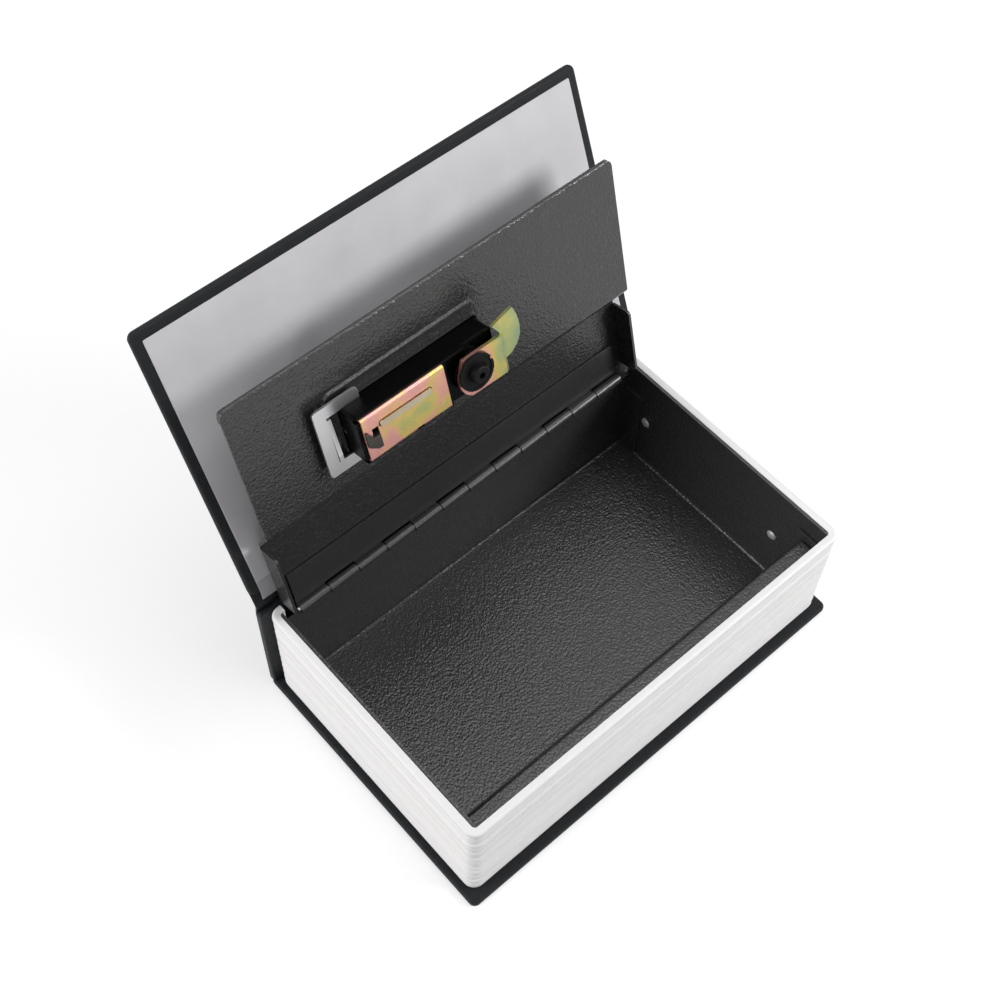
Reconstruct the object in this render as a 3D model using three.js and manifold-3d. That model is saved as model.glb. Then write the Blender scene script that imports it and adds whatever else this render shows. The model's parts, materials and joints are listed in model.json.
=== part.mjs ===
// Book diversion safe: a ribbed false page block on a hard back board, a folded steel cash tray
// inside it, a pressed steel lid on a piano hinge with a three-wheel combination cam lock, and a
// hard front cover on a cloth hinge. Millimetres, +Z up. X runs along the spine, the spine is at
// +Y, and the origin is the centre of the underside of the back board. The lid and the cover are
// modelled shut inside groups at their hinge lines, which are then turned open.

import * as THREE from 'three';
import { mergeVertices } from 'three/addons/utils/BufferGeometryUtils.js';
import Module from 'manifold-3d';

// Clearances and sheet gauges. PASS is how far a cutting tool reaches past the face that it cuts
const GAP = 0.3;
const GLUE_GAP = 0.1;
const SHEET = 1.0;
const BEND = 1.0;
const PASS = 1.0;

// Boards of the case
const BOARD_SIDE = 2.5;
const BOARD_T = 3.0;
const BOARD_ROUND = 1.1;
const BOARD_CORNER = 2.5;
const SPINE_T = 3.0;
const CLOTH_T = 0.9;
const CLOTH_SPAN = 5.2;
const FORE_OVERHANG = 3.6;
const PAPER_T = 0.3;
const PAPER_MARGIN = 3.6;
const PAPER_FOOT = 4.8;
const COVER_T = 2.6;
const COVER_OPEN = 112.4;

// False page block
const PAGE_W = 173.0;
const PAGE_D = 107.6;
const PAGE_H = 50.8;
const PAGE_WALL = 3.1;
const PAGE_CORNER = 4.5;
const PAGE_TOP_ROUND = 1.3;
const PAGE_RETURN = 5.5;
const PAGE_BUNDLES = 12;
const BUNDLE_SHIFT = 0.12;
const SHIFT_WAVE = 2.6;
const SWELL_WAVE = 3.7;
const DEPTH_WAVE = 2.03;
const GROOVE_DEPTH = 0.75;
const GROOVE_SHALLOW = 0.6;
const GROOVE_RISE = 1.0;
const GROOVE_FALL = 1.5;

// Cash tray and its front wall
const RIM_STEP = 0.3;
const LIP_DEPTH = 7.7;
const LIP_END = 3.7;
const KEEPER_LEAN = 3.6;
const TAB_LENGTH = 10.7;
const TAB_STEP = 2.3;
const TAB_LAP = 2.0;
const REAR_TAB_L = 9.2;
const REAR_TAB_DROP = 13.5;
const RIVET_HEAD_R = 2.2;
const RIVET_HEAD_H = 0.9;
const RIVET_CROWN_R = 1.2;
const RIVET_EDGE_H = 0.3;
const RIVET_SHANK_R = 1.2;
const RIVET_LENGTH = 3.0;
const RIVET_INSET_FRONT = 20.8;
const RIVET_INSET_REAR = 12.7;
const RIVET_HEIGHT = 24.5;

// Piano hinge
const KNUCKLE_R = 2.0;
const LEAF_T = 0.8;
const LEAF_W = 15.8;
const KNUCKLES = 12;
const HINGE_END = 7.1;
const KNUCKLE_GAP = 0.35;
const PIN_R = 1.0;
const PIN_OVERRUN = 0.6;

// Lid
const LID_OPEN = 105.4;
const LID_SIDE_GAP = 2.8;
const RIM_DROP = 0.4;
const PLATE_DROP = 6.8;
const LID_REAR = 3.5;
const JOGGLE_START = 34.2;
const JOGGLE_RUN = 9.4;
const LID_FRONT_GAP = 0.6;
const LID_CORNER = 3.0;
const LID_EDGE_ROUND = 1.6;
const HEM_W = 5.0;
const EAR_START = 4.6;
const EAR_END = 33.2;
const EAR_CORNER = 1.5;

// Lock boss and case. LOCK_U is the distance from the hinge line to the lock's centre line. The
// case is CASE_STEP lower round the spindle, beside a rib that ends CASE_RIB_END from its end
const LOCK_U = 67.7;
const CASE_LEFT = -44.0;
const CASE_HALF_W = 9.8;
const CASE_DEPTH = 11.9;
const CASE_CORNER = 1.5;
const CASE_STEP = 1.5;
const CASE_RIB_T = 1.0;
const CASE_RIB_END = 12.3;
const BOSS_MARGIN = 5.2;
const BOSS_LEFT = 3.4;
const BOSS_RIGHT = 2.7;
const BOSS_CORNER = 3.4;
const BOSS_SLOPE = 0.7;
const BOSS_RISE = 0.8;
const MOUTH_RIM_T = 0.5;
const MOUTH_RIM_H = 1.9;
const BEZEL_LIP = 1.2;
const BEZEL_T = 3.1;
const BEZEL_ROUND = 0.6;
const CASE_SKIN = 1.5;
const CASE_END = 3.0;
const COLLAR_R = 7.2;
const COLLAR_H = 0.7;
const CORE_LAP = 0.5;

// Dial wheels
const WHEELS = 3;
const WHEEL_PITCH = 8.8;
const WHEEL_W = 6.2;
const WHEEL_R = 7.0;
const WHEEL_NOTCH = 0.45;
const WHEEL_DIGITS = 10;
const WHEEL_FLAT_START = 0.12;
const WHEEL_PROUD = 1.0;
const SHAFT_R = 1.45;
const SHAFT_PLAY = 0.25;
const SHAFT_SEAT = 2.0;
const DETENT_T = 0.6;
const DETENT_W = 4.4;
const DETENT_BAR_L = 21.0;
const DETENT_BAR_W = 2.2;
const FINGER_ROOT = 1.0;
const FINGER_FLAT = 0.5;

// Lock cover plate, code lever and retaining clip
const PLATE_T = 0.8;
const PLATE_L = 33.6;
const PLATE_HALF_W = 9.0;
const PLATE_FLANGE = 2.0;
const PLATE_INSET = 1.4;
const PLATE_CLEAR = 3.4;
const PLATE_NOTCH_X = 2.3;
const PLATE_NOTCH_W = 2.9;
const PLATE_NOTCH_DEPTH = 1.2;
const SLOT_SHIFT = 3.4;
const BAR_PROUD = 0.7;
const LEVER_INSET = 3.4;
const LEVER_W = 1.8;
const LEVER_L = 5.0;
const LEVER_REAR = 4.4;
const LEVER_TRAVEL = 2.4;
const LEVER_FOOT_H = 1.2;
const LEVER_TOP_T = 0.8;
const LEVER_HOOK_L = 2.7;
const LEVER_HOOK_W = 1.3;
const CLIP_T = 0.9;
const CLIP_H = 28.2;
const CLIP_SPINE = 4.4;
const CLIP_REACH = 9.6;
const CLIP_ARM_L = 8.2;
const CLIP_GROOVE = 0.6;
const CLIP_CORNER = 1.6;
const TONGUE_W = 1.6;
const TONGUE_LIFT = 1.0;
const TONGUE_SHORT = 2.0;

// Spindle, knob, cam and nut
const PIVOT_INSET = 11.4;
const SPINDLE_R = 4.8;
const SPINDLE_TIP_R = 0.9;
const TIP_RECESS = 1.6;
const DRIVE_HALF = 3.0;
const KNOB_R = 7.6;
const KNOB_BASE_H = 1.6;
const KNOB_H = 5.0;
const KNOB_GRIP_W = 4.0;
const KNOB_EDGE = 0.5;
const KNOB_GRIP_INSET = 0.8;
const CAM_T = 1.3;
const CAM_RING_R = 8.0;
const CAM_RING_X = 1.1;
const CAM_RING_Y = -1.75;
const CAM_RING_START = 150;
const CAM_RING_END = 240;
const CAM_HEEL = 4.1;
const CAM_FORE = 6.7;
const CAM_AFT = 9.0;
const CAM_ARM = 12.3;
const CAM_STEP = 1.1;
const CAM_STEP_RUN = 1.4;
const HOOK_REACH = 21.1;
const HOOK_ROOT = 4.75;
const HOOK_BELLY = 4.9;
const HOOK_BELLY_START = 2.9;
const HOOK_SHOULDER = 9.6;
const HOOK_TIP = new THREE.Vector2(19.45, 13.4);
const HOOK_HEEL = new THREE.Vector2(10.3, 11.0);
const NUT_R = 7.0;
const NUT_FLANGE_H = 0.9;
const NUT_DISH_H = 0.4;
const NUT_RIM_W = 1.0;
const NUT_HUB_R = 3.3;
const NUT_HUB_H = 2.5;
const NUT_CHAMFER = 0.4;
const NUT_NOTCH_R = 1.0;
const NUT_NOTCH_TURN = -17;
const NUT_LUG_R = 0.6;
const NUT_LUG_H = 1.3;

// Places that follow from the sizes above
const BOARD_W = PAGE_W + 2 * BOARD_SIDE;
const BOARD_D = FORE_OVERHANG + PAGE_D + GAP + SPINE_T;
const FRONT_Y = -BOARD_D / 2;
const REAR_Y = BOARD_D / 2;
const PAGE_FRONT = FRONT_Y + FORE_OVERHANG;
const PAGE_REAR = PAGE_FRONT + PAGE_D;
const PAGE_TOP = BOARD_T + PAGE_H;
const SPINE_Y = PAGE_REAR + GAP;
const TRAY_HALF = PAGE_W / 2 - PAGE_WALL - GAP;
const TRAY_FRONT = PAGE_FRONT + PAGE_WALL + GAP;
const TRAY_REAR = PAGE_REAR - PAGE_WALL - GAP;
const TRAY_FLOOR = BOARD_T + SHEET;
const TRAY_TOP = PAGE_TOP - RIM_STEP;
const HINGE_Y = TRAY_REAR + GAP + LEAF_T - KNUCKLE_R;
const HINGE_Z = PAGE_TOP - RIM_DROP - SHEET - GAP - KNUCKLE_R;
const HINGE_HALF = TRAY_HALF - HINGE_END;
const KNUCKLE_PITCH = 2 * HINGE_HALF / KNUCKLES;
const LIP_Z = HINGE_Z - PLATE_DROP - GAP;
const LIP_Y = TRAY_FRONT + LIP_DEPTH;
const PANEL_W = KNUCKLE_R + GAP;
const LID_HALF_W = TRAY_HALF - LID_SIDE_GAP;
const LID_FRONT = HINGE_Y - PAGE_FRONT - PAGE_WALL - LID_FRONT_GAP;
const COVER_Z = PAGE_TOP + GAP + PAPER_T + GLUE_GAP + COVER_T;

// Heights in the lock, counted from the hinge line and upwards with the lid shut
const PLATE_INNER = -PLATE_DROP;
const PLATE_OUTER = PLATE_INNER + SHEET;
const BOSS_FLOOR = PLATE_OUTER - BOSS_RISE;
const BEZEL_BOTTOM = BOSS_FLOOR + GAP;
const BEZEL_TOP = BEZEL_BOTTOM + BEZEL_T;
const CASE_BOTTOM = PLATE_INNER - CASE_DEPTH;
const COVER_PLATE_TOP = CASE_BOTTOM - GAP;
const COVER_PLATE_BOTTOM = COVER_PLATE_TOP - PLATE_T;
const COVER_PLATE_LEFT = CASE_LEFT + PLATE_INSET;
const COVER_PLATE_RIGHT = COVER_PLATE_LEFT + PLATE_L;
const PIVOT_X = COVER_PLATE_RIGHT + PLATE_CLEAR + COLLAR_R;
const CASE_RIGHT = PIVOT_X + PIVOT_INSET;
const CASE_L = CASE_RIGHT - CASE_LEFT;
const CASE_X = (CASE_LEFT + CASE_RIGHT) / 2;
const CASE_Y = -LOCK_U;
const WHEEL_AXIS = BEZEL_TOP + WHEEL_PROUD - WHEEL_R;
const WHEEL_X = (COVER_PLATE_LEFT + COVER_PLATE_RIGHT) / 2;
const CHAMBER_LEFT = CASE_LEFT + CASE_END;
const CHAMBER_RIGHT = COVER_PLATE_RIGHT - CASE_END + PLATE_INSET;
const CHAMBER_HALF = WHEEL_R + GAP;
const REBATE_HALF = PLATE_HALF_W - PLATE_T - GAP;
const MOUTH_HALF = CASE_HALF_W + GAP;
const CAM_TOP = CASE_BOTTOM - COLLAR_H - GAP;
const CAM_BOTTOM = CAM_TOP - CAM_T;
const NUT_TOP = CAM_BOTTOM - GAP;
const NUT_BOTTOM = NUT_TOP - NUT_FLANGE_H - NUT_HUB_H;
const KEEPER_BOTTOM = HINGE_Z + CAM_TOP + CAM_STEP + GAP;
const CLIP_TOP = PLATE_INNER - BOSS_RISE - MOUTH_RIM_H - GAP;
const CLIP_BOTTOM = CLIP_TOP - CLIP_T;

// Where a quarter round's middle point lies, as a share of its radius
const ARC_SHARE = 1 - Math.SQRT1_2;
const SHARP_CORNER = 0.2;
const WELD = 1e-4;

const wasm = await Module();
wasm.setup();

const X_AXIS = new THREE.Vector3(1, 0, 0);
const Y_AXIS = new THREE.Vector3(0, 1, 0);
const Z_AXIS = new THREE.Vector3(0, 0, 1);

// Turns a closed three.js geometry into a solid that can be cut and joined
function toSolid(geometry) {
  const bare = geometry.clone();
  bare.deleteAttribute('normal');
  bare.deleteAttribute('uv');
  const welded = mergeVertices(bare, WELD);
  return new wasm.Manifold(new wasm.Mesh({
    numProp: 3,
    vertProperties: new Float32Array(welded.attributes.position.array),
    triVerts: new Uint32Array(welded.index.array),
  }));
}

function toGeometry(solid) {
  const mesh = solid.getMesh();
  const geometry = new THREE.BufferGeometry();
  geometry.setAttribute('position', new THREE.BufferAttribute(mesh.vertProperties, 3));
  geometry.setIndex(new THREE.BufferAttribute(mesh.triVerts, 1));
  return geometry;
}

function join(...solids) {
  return solids.reduce((whole, piece) => whole.add(piece));
}

function cut(body, ...tools) {
  return tools.reduce((whole, tool) => whole.subtract(tool), body);
}

// A shape in X and Y, raised from z0 to z1
function raise(shape, z0, z1, curveSegments = 3) {
  const geometry = new THREE.ExtrudeGeometry(shape, { depth: z1 - z0, bevelEnabled: false, curveSegments });
  return toSolid(geometry.translate(0, 0, z0));
}

// A profile in Y and Z, drawn along X from x0 to x1
function drawAlongX(shape, x0, x1, curveSegments = 3) {
  const geometry = new THREE.ExtrudeGeometry(shape, { depth: x1 - x0, bevelEnabled: false, curveSegments });
  geometry.applyMatrix4(new THREE.Matrix4().makeBasis(Y_AXIS, Z_AXIS, X_AXIS));
  return toSolid(geometry.translate(x0, 0, 0));
}

// A profile in X and Z, drawn along Y from y0 to y1
function drawAlongY(shape, y0, y1, curveSegments = 3) {
  const geometry = new THREE.ExtrudeGeometry(shape, { depth: y1 - y0, bevelEnabled: false, curveSegments });
  const minusY = Y_AXIS.clone().negate();
  geometry.applyMatrix4(new THREE.Matrix4().makeBasis(X_AXIS, Z_AXIS, minusY));
  return toSolid(geometry.translate(0, y1, 0));
}

function block(x0, x1, y0, y1, z0, z1) {
  const geometry = new THREE.BoxGeometry(x1 - x0, y1 - y0, z1 - z0);
  return toSolid(geometry.translate((x0 + x1) / 2, (y0 + y1) / 2, (z0 + z1) / 2));
}

// An upright cylinder
function rod(radius, x, y, z0, z1, sides = 20) {
  const geometry = new THREE.CylinderGeometry(radius, radius, z1 - z0, sides);
  return toSolid(geometry.rotateX(Math.PI / 2).translate(x, y, (z0 + z1) / 2));
}

// A cylinder along X
function barAlongX(radius, y, z, x0, x1, sides = 16) {
  const geometry = new THREE.CylinderGeometry(radius, radius, x1 - x0, sides);
  return toSolid(geometry.rotateZ(Math.PI / 2).translate((x0 + x1) / 2, y, z));
}

// A profile in radius and height, turned about a line along Z through x and y
function turned(profile, x, y, sides = 20) {
  const lathe = new THREE.LatheGeometry(profile.map(([r, h]) => new THREE.Vector2(r, h)), sides);
  return toSolid(lathe.rotateX(Math.PI / 2).translate(x, y, 0));
}

// A block between two places along Y that may be given in either order
function blockAcross(x0, x1, near, far, z0, z1) {
  return block(x0, x1, Math.min(near, far), Math.max(near, far), z0, z1);
}

function roundedRectangle(halfX, halfY, radius, x = 0, y = 0) {
  const shape = new THREE.Shape();
  shape.moveTo(x - halfX + radius, y - halfY);
  shape.lineTo(x + halfX - radius, y - halfY);
  shape.absarc(x + halfX - radius, y - halfY + radius, radius, -Math.PI / 2, 0, false);
  shape.lineTo(x + halfX, y + halfY - radius);
  shape.absarc(x + halfX - radius, y + halfY - radius, radius, 0, Math.PI / 2, false);
  shape.lineTo(x - halfX + radius, y + halfY);
  shape.absarc(x - halfX + radius, y + halfY - radius, radius, Math.PI / 2, Math.PI, false);
  shape.lineTo(x - halfX, y - halfY + radius);
  shape.absarc(x - halfX + radius, y - halfY + radius, radius, Math.PI, Math.PI * 1.5, false);
  return shape;
}

// The levels of a rounded edge at the top of a lofted solid
function roundedTop(top, radius) {
  return [
    { z: top - radius, inset: 0 },
    { z: top - radius * ARC_SHARE, inset: radius * ARC_SHARE },
    { z: top, inset: radius },
  ];
}

// The outline of a sheet of even thickness that follows the middle line of a folded path
function bentSheet(path, thickness, insideRadius, steps = 3) {
  const radius = insideRadius + thickness / 2;
  const left = [];
  const right = [];
  const put = (point, normal) => {
    left.push(point.clone().addScaledVector(normal, thickness / 2));
    right.unshift(point.clone().addScaledVector(normal, -thickness / 2));
  };
  const leftOf = (direction) => new THREE.Vector2(-direction.y, direction.x);
  const heading = (i) => path[i + 1].clone().sub(path[i]).normalize();
  put(path[0], leftOf(heading(0)));
  for (let i = 1; i < path.length - 1; i += 1) {
    const before = heading(i - 1);
    const after = heading(i);
    const turn = Math.atan2(before.cross(after), before.dot(after));
    const side = Math.sign(turn);
    const start = path[i].clone().addScaledVector(before, -radius * Math.tan(Math.abs(turn) / 2));
    const centre = start.clone().addScaledVector(leftOf(before), side * radius);
    for (let k = 0; k <= steps; k += 1) {
      const normal = leftOf(before).rotateAround(new THREE.Vector2(), turn * k / steps);
      put(centre.clone().addScaledVector(normal, -side * radius), normal);
    }
  }
  put(path[path.length - 1], leftOf(heading(path.length - 2)));
  return new THREE.Shape([...left, ...right]);
}

// A closed solid through rings of equal point count, listed upwards and counter-clockwise
function loft(rings) {
  const count = rings[0].length;
  const positions = [];
  const index = [];
  const middle = (ring) => ring.reduce((sum, p) => sum.add(p), new THREE.Vector3()).divideScalar(count);
  rings.forEach((ring) => ring.forEach((p) => positions.push(p.x, p.y, p.z)));
  const bottom = rings.length * count;
  const top = bottom + 1;
  [middle(rings[0]), middle(rings[rings.length - 1])].forEach((p) => positions.push(p.x, p.y, p.z));
  for (let j = 0; j < count; j += 1) {
    const next = (j + 1) % count;
    for (let i = 0; i < rings.length - 1; i += 1) {
      const a = i * count + j;
      const b = i * count + next;
      index.push(a, b, b + count, a, b + count, a + count);
    }
    const last = (rings.length - 1) * count;
    index.push(bottom, next, j, top, last + j, last + next);
  }
  const geometry = new THREE.BufferGeometry();
  geometry.setAttribute('position', new THREE.Float32BufferAttribute(positions, 3));
  geometry.setIndex(index);
  return toSolid(geometry);
}

// The same rounded rectangle at several heights, drawn in by an inset at each
function loftedRectangle(halfX, halfY, radius, x, y, levels, arcSteps = 2) {
  const rings = levels.map(({ z, inset }) => {
    const corner = Math.max(radius - inset, SHARP_CORNER);
    const shape = roundedRectangle(halfX - inset, halfY - inset, corner, x, y);
    const points = shape.getPoints(arcSteps).map((p) => new THREE.Vector3(p.x, p.y, z));
    return points.filter((p, i) => p.distanceTo(points.at(i - 1)) > WELD);
  });
  return loft(rings);
}

const MATERIALS = {
  leatherette: { color: 0x24262b, roughness: 0.62, metalness: 0 },
  page_plastic: { color: 0xebe8e8, roughness: 0.5, metalness: 0 },
  endpaper: { color: 0xd7d5d9, roughness: 0.75, metalness: 0 },
  hammered_paint: { color: 0x48484b, roughness: 0.42, metalness: 0.25 },
  bright_steel: { color: 0xc4c4c8, roughness: 0.28, metalness: 0.9 },
  black_moulding: { color: 0x141416, roughness: 0.45, metalness: 0 },
  yellow_zinc: { color: 0xd8b070, roughness: 0.35, metalness: 0.8 },
  grey_metal: { color: 0x8d8f92, roughness: 0.4, metalness: 0.7 },
  dial_black: { color: 0x1c1c1e, roughness: 0.4, metalness: 0 },
};

function piece(name, solid, finish) {
  const mesh = new THREE.Mesh(toGeometry(solid), new THREE.MeshStandardMaterial(MATERIALS[finish]));
  mesh.name = name;
  return mesh;
}

// A wrapped board with rounded edges
function wrappedBoard(halfX, y0, y1, z0, z1) {
  const foot = [
    { z: z0, inset: BOARD_ROUND },
    { z: z0 + BOARD_ROUND * ARC_SHARE, inset: BOARD_ROUND * ARC_SHARE },
    { z: z0 + BOARD_ROUND, inset: 0 },
  ];
  const levels = [...foot, ...roundedTop(z1, BOARD_ROUND)];
  return loftedRectangle(halfX, (y1 - y0) / 2, BOARD_CORNER, 0, (y0 + y1) / 2, levels);
}

function backBoard() {
  return wrappedBoard(BOARD_W / 2, FRONT_Y, REAR_Y, 0, BOARD_T);
}

// The spine board stands on the back board, behind the open rear of the page block
function spineBoard() {
  const round = BOARD_ROUND / 2;
  const outline = roundedRectangle(BOARD_W / 2, (PAGE_TOP - BOARD_T) / 2, round, 0, (PAGE_TOP + BOARD_T) / 2);
  return drawAlongY(outline, SPINE_Y, REAR_Y);
}

// The covering cloth stands up from the spine as far as the fold
function spineCloth() {
  return block(-BOARD_W / 2 + GAP, BOARD_W / 2 - GAP, REAR_Y - CLOTH_T, REAR_Y,
    PAGE_TOP, COVER_Z - CLOTH_T - GAP);
}

// Each bundle of pages swells between two grooves. Waves of unlike lengths, counted in bundles,
// vary the heights, the swelling and the grooves' depths
function pageLevels() {
  const pitch = PAGE_H / PAGE_BUNDLES;
  const wave = (i, length) => Math.sin(2 * Math.PI * i / length);
  const grooveAt = (i) => BOARD_T + pitch * (i + BUNDLE_SHIFT * wave(i, SHIFT_WAVE));
  const levels = [{ z: BOARD_T, inset: GROOVE_DEPTH / 2 }];
  for (let i = 0; i < PAGE_BUNDLES - 1; i += 1) {
    const foot = i === 0 ? BOARD_T : grooveAt(i);
    const swell = GROOVE_DEPTH * (1 + wave(i, SWELL_WAVE)) / 4;
    const share = GROOVE_SHALLOW + (1 - GROOVE_SHALLOW) * (1 + wave(i, DEPTH_WAVE)) / 2;
    levels.push({ z: foot + GROOVE_RISE, inset: swell });
    levels.push({ z: grooveAt(i + 1) - GROOVE_FALL, inset: 0 });
    levels.push({ z: grooveAt(i + 1), inset: GROOVE_DEPTH * share });
  }
  levels.push({ z: grooveAt(PAGE_BUNDLES - 1) + GROOVE_RISE, inset: 0 });
  return [...levels, ...roundedTop(PAGE_TOP, PAGE_TOP_ROUND)];
}

// A three-sided ribbed wall with short returns at its rear corners, open towards the spine
function pageBlock() {
  const middle = (PAGE_FRONT + PAGE_REAR) / 2;
  const ribbed = loftedRectangle(PAGE_W / 2, PAGE_D / 2 + PAGE_CORNER, PAGE_CORNER, 0,
    middle + PAGE_CORNER, pageLevels());
  const inner = PAGE_W / 2 - PAGE_WALL;
  const behind = PAGE_REAR + 3 * PAGE_CORNER;
  const mouth = PAGE_W / 2 - PAGE_RETURN;
  const above = PAGE_TOP + PASS;
  return cut(ribbed,
    block(-inner, inner, PAGE_FRONT + PAGE_WALL, PAGE_REAR - PAGE_WALL, 0, above),
    block(-mouth, mouth, PAGE_REAR - PAGE_WALL - PASS, behind, 0, above),
    block(-PAGE_W, PAGE_W, PAGE_REAR, behind, 0, above),
    ...rivetHoles(TRAY_HALF, TRAY_HALF + RIVET_LENGTH));
}

// Floor, two side walls and rear wall, folded from one sheet and open at the front. The rear
// wall's end tabs lie on the side walls
function cashTray() {
  const half = TRAY_HALF - SHEET / 2;
  const sides = bentSheet([
    new THREE.Vector2(-half, TRAY_TOP),
    new THREE.Vector2(-half, BOARD_T + SHEET / 2),
    new THREE.Vector2(half, BOARD_T + SHEET / 2),
    new THREE.Vector2(half, TRAY_TOP),
  ], SHEET, BEND);
  const rear = bentSheet([
    new THREE.Vector2(TRAY_REAR - 2 * (SHEET + BEND), BOARD_T + SHEET / 2),
    new THREE.Vector2(TRAY_REAR - SHEET / 2, BOARD_T + SHEET / 2),
    new THREE.Vector2(TRAY_REAR - SHEET / 2, HINGE_Z - KNUCKLE_R - GAP),
  ], SHEET, BEND);
  const shell = drawAlongY(sides, TRAY_FRONT, TRAY_REAR);
  const trimmed = cut(shell, block(-half, half, TRAY_REAR - BEND - SHEET, TRAY_REAR + PASS, 0, TRAY_FLOOR));
  const tabs = [-1, 1].map((side) => side * (TRAY_HALF - SHEET)).map((x) => block(x - SHEET, x + SHEET,
    TRAY_REAR - SHEET - REAR_TAB_L, TRAY_REAR - SHEET / 2, TRAY_FLOOR + BEND, TRAY_TOP - REAR_TAB_DROP));
  return cut(join(trimmed, drawAlongX(rear, -half, half), ...tabs),
    ...rivetHoles(TRAY_HALF - SHEET - PASS, TRAY_HALF + PASS));
}

// Upright wall, lip for the lid to rest on, leaning keeper edge for the hook, and two corner tabs
function frontWall() {
  const foot = TRAY_FLOOR + GAP;
  const lipHalf = TRAY_HALF - LIP_END;
  const profile = bentSheet([
    new THREE.Vector2(TRAY_FRONT + SHEET / 2, foot),
    new THREE.Vector2(TRAY_FRONT + SHEET / 2, LIP_Z - SHEET / 2),
    new THREE.Vector2(LIP_Y - SHEET / 2, LIP_Z - SHEET / 2),
    new THREE.Vector2(LIP_Y - SHEET / 2 + KEEPER_LEAN, KEEPER_BOTTOM),
  ], SHEET, BEND / 2);
  const tabX = TRAY_HALF - SHEET - GAP - SHEET / 2;
  const corner = (side) => bentSheet([
    new THREE.Vector2(side * (lipHalf - TAB_LAP), TRAY_FRONT + SHEET / 2),
    new THREE.Vector2(side * tabX, TRAY_FRONT + SHEET / 2),
    new THREE.Vector2(side * tabX, TRAY_FRONT + TAB_LENGTH),
  ], SHEET, BEND / 2);
  const tabFoot = TRAY_FLOOR + BEND + GAP;
  const tabTop = LIP_Z + TAB_STEP;
  const tabs = [-1, 1].map((side) => raise(corner(side), tabFoot, tabTop));
  const whole = join(drawAlongX(profile, -lipHalf, lipHalf), ...tabs);
  const aboveLip = tabX - SHEET / 2 - GAP / 2;
  return cut(whole, block(-aboveLip, aboveLip, TRAY_FRONT - PASS, TRAY_FRONT + SHEET + PASS,
    LIP_Z, tabTop + PASS));
}

function rivetSeats() {
  const rows = [TRAY_FRONT + RIVET_INSET_FRONT, TRAY_REAR - RIVET_INSET_REAR];
  return [-1, 1].flatMap((side) => rows.map((y) => ({ side, y, z: BOARD_T + RIVET_HEIGHT })));
}

// Holes for the rivets' shanks, between two distances from the middle
function rivetHoles(near, far) {
  return rivetSeats().map(({ side, y, z }) => barAlongX(RIVET_SHANK_R + GAP, y, z,
    Math.min(side * near, side * far), Math.max(side * near, side * far), 12));
}

// A domed rivet from inside the tray into the plastic wall
function rivet({ side, y, z }) {
  const end = RIVET_HEAD_H + RIVET_LENGTH - GAP;
  const profile = [[0, 0], [RIVET_CROWN_R, 0], [RIVET_HEAD_R, RIVET_HEAD_H - RIVET_EDGE_H],
    [RIVET_HEAD_R, RIVET_HEAD_H], [RIVET_SHANK_R, RIVET_HEAD_H], [RIVET_SHANK_R, end], [0, end]];
  const solid = turned(profile, 0, 0, 16).rotate([0, side * 90, 0]);
  return solid.translate([side * (TRAY_HALF - SHEET - RIVET_HEAD_H), y, z]);
}

// A rolled knuckle with its tail, in Y and Z with the tail pointing down at the outer side
function knuckleOutline(tail, swap) {
  const along = ([y, z]) => (swap ? new THREE.Vector2(z, y) : new THREE.Vector2(y, z));
  const meet = Math.acos((KNUCKLE_R - LEAF_T) / KNUCKLE_R);
  const steps = 12;
  const outer = [[KNUCKLE_R, -tail]];
  for (let k = 0; k <= steps; k += 1) {
    const angle = (2 * Math.PI - meet) * k / steps;
    outer.push([KNUCKLE_R * Math.cos(angle), KNUCKLE_R * Math.sin(angle)]);
  }
  outer.push([KNUCKLE_R - LEAF_T, -tail]);
  const shape = new THREE.Shape(outer.map(along));
  const bore = new THREE.Path();
  bore.absarc(0, 0, KNUCKLE_R - LEAF_T, 0, 2 * Math.PI, false);
  shape.holes.push(bore);
  return shape;
}

// One leaf of the piano hinge with every second knuckle, about the hinge line
function hingeLeaf(first, swap) {
  const start = KNUCKLE_R + KNUCKLE_GAP;
  const knuckle = knuckleOutline(start + PASS, swap);
  const flat = new THREE.Shape([
    [KNUCKLE_R, -LEAF_W], [KNUCKLE_R, -start], [KNUCKLE_R - LEAF_T, -start], [KNUCKLE_R - LEAF_T, -LEAF_W],
  ].map(([y, z]) => (swap ? new THREE.Vector2(z, y) : new THREE.Vector2(y, z))));
  const rolls = [];
  for (let i = first; i < KNUCKLES; i += 2) {
    const x = -HINGE_HALF + i * KNUCKLE_PITCH;
    rolls.push(drawAlongX(knuckle, x + KNUCKLE_GAP / 2, x + KNUCKLE_PITCH - KNUCKLE_GAP / 2, 6));
  }
  return join(drawAlongX(flat, -HINGE_HALF + KNUCKLE_GAP, HINGE_HALF - KNUCKLE_GAP), ...rolls);
}

function hingePin() {
  return barAlongX(PIN_R, 0, 0, -HINGE_HALF - PIN_OVERRUN, HINGE_HALF + PIN_OVERRUN, 12);
}

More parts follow.
